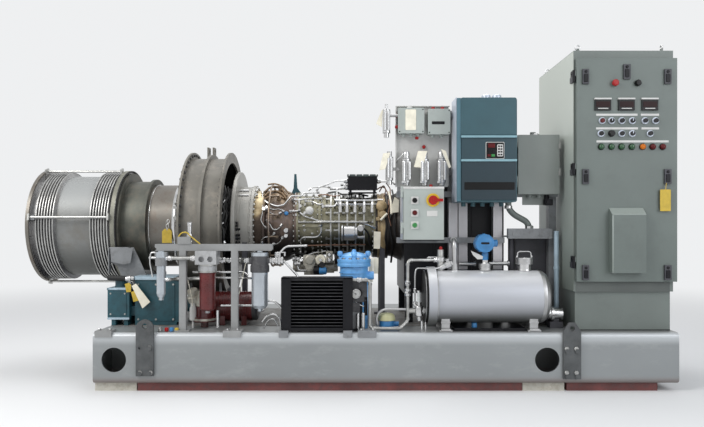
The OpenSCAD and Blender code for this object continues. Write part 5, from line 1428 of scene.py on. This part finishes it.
# %% Meters, selectors and pilot lights
meter_columns = (108, 251, 393)
light_columns = (148, 210, 271, 334, 399, 460, 521)
METER_Z, LIGHT_Z = 1697, 1477
selector_rows = ((977, (153, 210, 272, 336, 413, 477)), (899, (146, 272, 336, 444)))
pointer_rows = ((977, (210, 336)), (899, (210, 336)))
piece("meter_glass", display_red, [
    slab((DOOR_S + x + 7, 36.5, METER_Z + 20), (DOOR_S + x + 91, 39, METER_Z + 54), 1, 2)
    for x in meter_columns],
    body="cabinet_door")
piece("meter_trim", plate_white, [
    part for x in meter_columns for part in (
        slab((DOOR_S + x - 3, 35, 1763), (DOOR_S + x + 101, 51, 1773), 2, 3),
        slab((DOOR_S + x + 18, 36, 1706), (DOOR_S + x + 80, 38.5, 1711), 1, 1.5))]
    + [slab((s0, 46.5, z0), (s1, 49, z0 + 13), 1, 2) for s0, s1, z0 in (
        (3038, 3289, 1665), (3309, 3420, 1665), (3038, 3292, 1582), (3313, 3420, 1582),
        (3040, 3478, 1503))], body="cabinet_door")
piece("selector_rings", lit_sides_and_pale_rings, [
    lathe(ring_profile(14.4, 20.5, 0, 12, 3), at(DOOR_S + x, 50, DOOR_Z + h), -Y, 36)
    for h, row in selector_rows for x in row]
    + [slab((DOOR_S + x - 2, 26.5, DOOR_Z + h - 2), (DOOR_S + x + 2, 28.5, DOOR_Z + h + 12), 0.8, 1.5)
       for h, row in pointer_rows for x in row],
    body="cabinet_door")
piece("big_selector", black_gloss, [
    lathe(solid((20, 0), (20, 6), (17, 10), (17, 24), (14, 27)), at(3130, 50, 1557), -Y, 32),
    lathe([(0, 0), (19, 0), (19, 20), (15, 27), (0, 28)], at(3289, 50, 1863), -Y, 32)]
    + [lathe(ring_profile(15, 20.5, 0, 7, 2), at(DOOR_S + x, 50, LIGHT_Z), -Y, 32) for x in light_columns],
    body="cabinet_door")
lens = [(0, 4), (17, 4), (17, 14), (14, 20), (8, 24), (0, 25)]
lens_green = finish("lens_green", (0.05, 0.28, 0.12), 0.2, 0.0, 0.06, 40, coat=0.6)
piece("green_lights", lens_green, [
    lathe(lens, at(DOOR_S + x, 50, LIGHT_Z), -Y, 28) for x in light_columns[:4]],
    body="cabinet_door")
piece("amber_light", signal_amber, [lathe(lens, at(DOOR_S + light_columns[4], 50, LIGHT_Z), -Y, 28)],
      body="cabinet_door")
piece("red_lights", lens_red, [
    lathe(lens, at(DOOR_S + x, 50, LIGHT_Z), -Y, 28) for x in light_columns[5:]]
    + [lathe([(0, 0), (14.8, 0), (14.8, 20), (12, 24), (0, 25)], at(3073, 50, 1635), -Y, 28)],
    body="cabinet_door")
piece("stop_button", signal_red, [
    lathe([(0, 0), (16, 0), (16, 12), (20, 16), (20, 24), (15, 30), (0, 31)], at(3150, 50, 1863), -Y, 36)],
    body="cabinet_door")
# The cabinet paint made lighter for the lit left side and hood, with a band lighter still towards the top
# and one darker towards the bottom: painted light and painted shade.
lit_side_paint = finish("lit_side_paint", (0.59, 0.625, 0.605), 0.4, 0.05, 0.04, 1.4, (0.54, 0.57, 0.55), 0.3, 6,
                    bands=((1.25, 1.7, (0.72, 0.745, 0.715)), (1.1, 0.55, (0.45, 0.48, 0.455))))
piece("cabinet_side", lit_side_paint, [slab((2910.4, 82, 597), (2912.4, 847, 2066), 0.5, 1)])
piece("hinge_covers", black_satin, [
    part for z in (739, 1306, 1872) for part in (
        disc(9.4, 0, 74, (2908, 62, z), Z, 24, 2), slab((2904, 70, z), (2911, 118, z + 74), 2, 5),
        disc(5, 0, 3, (2904, 100, z + 18), -X, 14), disc(5, 0, 3, (2904, 100, z + 56), -X, 14))])
piece("plinth_seal", black_rubber, [slab((2923, 94.5, DECK), (3509, 99, 361), 1, 2)])
# The control box's left side is a thin skin in the pale tone: painted light.
piece("box_side", lit_sides_and_pale_rings, [slab((1868.6, 152, 912), (1871.2, 332, 1237), 0.5, 2)])

# %% [markdown]
# ## Last engine accessories and the skid
# Small bodies hang round the gearbox: a starter pad with a cream cap, a fuel metering body and sensors.
# The lifting bracket on the top flange is a tapered plate.

# %% Gearbox accessories
piece("gear_bodies", gearbox_cast, [
    slab((1214, 652, 716), (1302, 700, 800), 8, 14), slab((1376, 642, 741), (1422, 700, 824), 5, 8),
    lathe([(0, 0), (30, 0), (34, 5), (34, 16), (26, 20), (26, 44), (0, 46)], at(1262, 652, 762), -Y, 28),
    lathe(solid((24, 0), (26, 4), (26, 50), (20, 56)), at(1430, 680, 742), X, 28)])
piece("cream_cap", cream, [
    lathe(solid((34, 0), (38, 4), (38, 40), (34, 46), (22, 47), (20, 42)), at(1337, 690, 762), -Y, 40)])
gear_feed = [(1200, 664, 770), (1236, 660, 790), (1290, 668, 812), (1390, 668, 826)]
gear_drain = [(1178, 640, 720), (1186, 640, 690), (1240, 650, 690)]
piece("gear_fittings", bright_steel, union(1166, 664, 770, 20, 50) + union(1178, 640, 736, 18, 44)
      + union(1140, 700, 800, 16, 40)
      + [disc(13, 0, 10, (1337, 648, 762), -Y, 6), pipe(gear_feed, 14, 20), pipe(gear_drain, 16, 16)]
      + [lathe(solid((14, 0), (16, 3), (16, 20), (10, 26)), at(1399, 644, z), -Y, 20) for z in (762, 800)])
piece("dark_bodies", black_satin, [
    lathe(solid((36, 0), (40, 6), (40, 52), (32, 60)), at(1436, 652, 772), X, 32),
    lathe([(0, 0), (26, 0), (30, 4), (30, 70), (0, 72)], at(1290, 640, 690), X, 28),
    lathe([(0, 0), (20, 0), (22, 4), (22, 30), (0, 32)], at(1340, 640, 720), (0.3, -0.8, 0.3), 24)])
piece("blue_body", device_blue, [
    lathe(solid((22, 0), (25, 4), (25, 46), (18, 52)), at(1330, 620, 688), X, 28)])

# %% [markdown]
# The front frame is a cast ring with bosses. Clips hold the cables on it, and the ignition box above it
# has a screwed lid with plugs at both ends.

# %% Front frame, bracket, lid and tags
frame_bits_px = [(381.6, 205.8), (383, 214.5), (378, 219)]
piece("frame_bits", front_tan, [
    turned([(221, 1732), (229, 1734), (229, 1744), (224, 1750), (228, 1762), (233, 1768), (233, 1784),
            (224, 1788), (221, 1732)]),
    turned_at(*frame_bits_px[0], 252, [(0, -26), (34, -26), (38, -20), (38, 0), (33, 14), (20, 22),
                                       (0, 24)], out_near, 32),
    turned_at(*frame_bits_px[1], 250, [(0, -14), (26, -14), (28, -6), (26, 6), (0, 10)], out_near, 28),
    turned_at(*frame_bits_px[2], 244, disc_profile(14, -10, 16, 3), out_near, 20)])
frame_clips_routes = [[(387, 213.6), (380.6, 220.2)], [(388.6, 192), (391, 202), (391.4, 214)]]
frame_clips_outlines = [
    [(373.8, 231.4), (380.8, 231.8), (380, 248.8), (373.6, 248.6)],
    [(394.6, 197), (399, 200), (398.6, 212), (392, 213), (391.6, 206)],
    [(368.8, 259), (372.8, 258), (372.8, 282), (368.6, 281.8)],
    [(373.2, 257.5), (378.5, 258), (378.2, 273.6), (373.4, 273.6)]]
piece("frame_clips", cream, [
    casing_pipe(256, 17, frame_clips_routes[0]), casing_pipe(252, 15, frame_clips_routes[1]),
    sheet(frame_clips_outlines[0], 540, 1.5), sheet(frame_clips_outlines[1], 540, 1.5),
    sheet(frame_clips_outlines[2], 300, 1.5), sheet(frame_clips_outlines[3], 312, 1.5)])
lift_bracket_outline = [(294.3, 174), (296.4, 174), (297.4, 188), (301.5, 193.6), (301.5, 195.2),
                        (291.4, 195.2), (291.4, 193.6), (293.6, 188)]
piece("lift_bracket", pump_teal, [
    sheet(lift_bracket_outline, 795, 10), disc(9, -3, 14, (1162, 795, 1216), -Y, 20)])
piece("ignition_lid", finish("lid_green", (0.27, 0.31, 0.31), 0.45, 0.0, 0.08, 14), [
    slab((1522.5, 644.5, 1342), (1736.5, 755.5, 1357.5), 3, 8)])
cable_plug = solid((15, 0), (17, 3), (17, 18), (12, 22), (12, 30))
piece("lid_bolts", bright_steel, [
    disc(6, 0, 5, (s, 644.5, 1350), -Y, 12) for s in (1536, 1584, 1630, 1676, 1724)]
    + [lathe(cable_plug, at(1528, 700, z), -X, 20) for z in (1268, 1312)]
    + [lathe(cable_plug, at(1731, 700, 1312), X, 20)])

# %% [markdown]
# Small fittings finish the skid: bolts with washers on the lifting lugs, covers over the cooler's feet
# and coloured caps on the deck's drain points.

# %% Skid fittings
lug_bolt_places = ((346, 269), (288, 119), (352, 119), (2839, 262), (2897, 262), (2839, 119), (2897, 119))
piece("lug_bolts", bare_steel, [
    part for s, z in lug_bolt_places for part in (
        disc(17, 0, 3, (s, -12, z), -Y, 24), disc(14, 2, 12, (s, -12, z), -Y, 6))])
piece("foot_covers", frame_grey, [
    slab((a, -9.4, 326.5), (b, 84, 368.5), 3, 5) for a, b in ((1116, 1174), (1503, 1558), (1590, 1702))])
piece("foot_bolts", bright_steel, [
    bolts([(s, 24, 368) for s in (32, 96, 806, 866, 1145, 1530, 1612, 1682)], Z, 18, 10)])
piece("deck_fittings", bare_steel, [
    disc(13, DECK, DECK + 22, (389, 55, 0), Z, 20, 3), disc(8, 376, 384, (389, 55, 0), Z, 6, 2)])
piece("deck_plugs", signal_red, [disc(12, DECK, DECK + 24, (429, 55, 0), Z, 20, 3)])
piece("deck_caps", device_blue, [disc(12, DECK, DECK + 24, (459, 55, 0), Z, 20, 3)])
piece("deck_knob", tag_yellow, [disc(12, DECK, DECK + 22, (490, 55, 0), Z, 20, 3)])

# %% [markdown]
# ## Under and beside the tank
# A low black eased slab under the tank, shaped as a folded drip tray, paints the shade there. The posts of
# the stand are angle steel whose front flange catches the light, so each gets a thin near-white flange of
# its own: a painted highlight.
# The polished pump and its upright conduit stand at the cabinet's foot and are turned parts. A tube, a
# gusset and blank paper tags complete the rack.

# %% Tray, posts and pump
# Black slab under the tank: painted shade.
piece("shade_under_tank", black_satin, [slab((2180, 70, DECK + 0.3), (2620, 340, 372), 3, 6)])
piece("tray_tube", device_blue, [disc(17, 370, 400, (2311, 120, 0), Z, 24, 2)])
# Thin near-white flanges on the posts' fronts: painted highlights.
piece("post_faces", lit_post_face, [
    slab((s - 1, 366.3, 716), (s + 57.5, 369.8, 1150), 1, 3) for s in post_stations])
piece("conduit_pipe", lid_blue, [
    upright(solid((16, 475), (16, 716), (19, 718), (19, 735), (16, 737), (16, 965)), 2872, 300, 28)])
polished_pump = (2794, 230, 442)
piece("pump_polish", bright_steel, [
    lathe(solid((35, -3), (38, 0), (38, 16), (49.5, 17), (49.5, 33), (38, 34), (38, 90), (35, 93)),
          at(*polished_pump), X, 48)])
piece("cup_cover", panel_grey, [
    upright(solid((31.5, 456), (31.5, 540), (28, 546)), 2820, 330, 36)])
piece("rack_tube", bright_steel, [
    upright(solid((12, 367), (12, 376), (9, 378), (9, 476)), 725, 130, 24)])
post_gusset_outline = [(229.6, 331), (239, 331), (239, 324.4), (236.4, 324.4)]
piece("post_gusset", rack_grey, [sheet(post_gusset_outline, 80, 4)])
yellow_paper_outlines = [
    [(124.6, 284), (129, 282.6), (131.2, 285), (131, 292), (126.4, 292.4)],
    [(131, 292), (137.2, 290), (139, 300.6), (133.4, 302)]]
piece("yellow_paper", tag_yellow, [
    sheet(yellow_paper_outlines[0], 292, 2), sheet(yellow_paper_outlines[1], 289, 2)])

# %% [markdown]
# ## Crests of the bellows
# Rolled bellows are brightest along their crests, where they face the light. A thin band of lighter
# steel is laid on each crest as a painted highlight, a turned ring with the same round back as the crest
# under it.

# %% Crest highlight bands
CREST_R, CREST_PITCH, CREST_COUNT = 378.6, 18.5, 7
BELLOWS_STARTS = (-549, -189.5)
crest = [(CREST_R - 0.06 * (x * x), x) for x in np.linspace(-3.6, 3.6, 7)]
# Lighter steel rings on the crests: painted highlights.
piece("crest_highlights", rod_steel, [
    lathe([(r, x) for r, x in crest] + [(r - 1.6, x) for r, x in reversed(crest)] + [crest[0]],
          at(s + CREST_PITCH * (i + 0.5), AXIS_Y, AXIS_Z), X, 96) for s in BELLOWS_STARTS
    for i in range(CREST_COUNT)])

# %% [markdown]
# ## Rim band, elbow, tray and hook
# The band round the second bellows is dull plate, and a black ring in the gap behind it paints the shade
# there; both are thin turned rings. Below the wall box a thick flexible conduit turns down to a cable tray
# on the power unit: a swept tube and a low slab. The pump's foot and its union are short turned parts, and
# the lifting hook is two swept links.

# %% Rim, elbow, tray and hook
rim_olive = finish("rim_olive", (0.47, 0.47, 0.43), 0.48, 0.35, 0.08, 7, (0.60, 0.59, 0.54), 0.4, 18)
piece("rim_band", rim_olive, [
    lathe(ring_profile(388, 391.4, 0, 28, 1), at(-45, AXIS_Y, AXIS_Z), X, 96)])
# A black ring in the gap behind the band: painted shade.
piece("rim_gap_shade", inside_black, [
    lathe(ring_profile(380, 390.8, 0, 9, 1), at(-16.5, AXIS_Y, AXIS_Z), X, 96)])
piece("conduit_elbow", cabinet_grey, [
    pipe([(2567, 330, 1160), (2573, 330, 1106), (2606, 330, 1070), (2690, 330, 1024), (2706, 330, 981)], 40,
         34, 16, 6)])
piece("conduit_ends", bright_steel, [
    upright(solid((23, 1108), (25, 1110), (25, 1128), (21, 1131)), 2569, 330, 32),
    upright(solid((27, 980), (27, 996), (23, 1000)), 2705, 330, 8),
    upright(solid((32, 357), (32, 366), (22, 368), (22, 404)), 2836, 230, 32),
    lathe(solid((19, -40), (21, -38), (21, -22), (17, -20), (17, 0)), at(*polished_pump), X, 28)])
piece("cable_tray", frame_grey, [
    slab((2560, 296, 915), (2846, 336, 981), 2, 5), slab((2588, 293, 930), (2640, 297, 962), 1, 12),
    slab((2760, 293, 930), (2824, 297, 962), 1, 12)])
hook_links_routes = [
    [(167.2, 229.6, 70), (165.8, 226, 70), (167.2, 223.4, 70), (168.8, 226, 70), (167.2, 229.6, 70)],
    [(168, 224.6, 72), (166.8, 221.4, 74), (168.2, 218.8, 78), (169.6, 221.4, 76), (168, 224.6, 72)]]
piece("hook_links", bare_steel, [
    pipe(sighted(hook_links_routes[0]), 4.5, 6), pipe(sighted(hook_links_routes[1]), 4.5, 6)])

# %% [markdown]
# ## Hood and shaded strip of the cabinet
# The hood on the door is folded sheet. Its sloped lid and its left fold take the lighter side paint, a
# painted highlight for the light they catch. The lid is a low slab whose points are raised in step with
# their depth, z' = z + rise (y - y_front). A dark grey strip under the door paints the shade that the
# door's overhang casts on the frame. The pump's cream cover and the bright rim of the outlet flange are
# turned parts.

# %% Hood lid, fold and shade strip


def sloped(body, rise):
    """The body with every point raised by rise times its distance behind the body's front."""
    points, faces = body
    points = points.copy()
    points[:, 2] += rise * (points[:, 1] - points[:, 1].min())
    return points, faces


HOOD_RISE = 42 / 52
# Lid and fold in the lighter side paint: painted highlight.
piece("hood_lid", lit_side_paint, [
    sloped(slab((3117, -2, 1062), (3323, 49, 1065), 1, 2), HOOD_RISE),
    slab((3117, -3.2, 714), (3126, 0, 1061), 0.8, 1)], body="cabinet_door")
# Dark grey strip under the door: painted shade.
door_shade_grey = finish("door_shade_grey", (0.33, 0.35, 0.34), 0.5, 0.05, 0.06, 5)
piece("door_shade_strip", door_shade_grey, [slab((2925, 77.4, 594), (3499, 80.3, 655), 1, 2)])
cover_cream = finish("cover_cream", (0.72, 0.72, 0.56), 0.45, 0.0, 0.06, 10)
piece("pump_cover", cover_cream, [
    upright([(0, 411), (52, 411), (53.2, 412.5), (53.2, 425.5), (49, 442), (34.8, 454.2), (0, 458.4)], 1772,
            150, 48)])
piece("outlet_rim", duct_light, [
    lathe(ring_profile(384, 396.2, -0.9, 20.9, 1), at(-600, AXIS_Y, AXIS_Z), X, 96)])
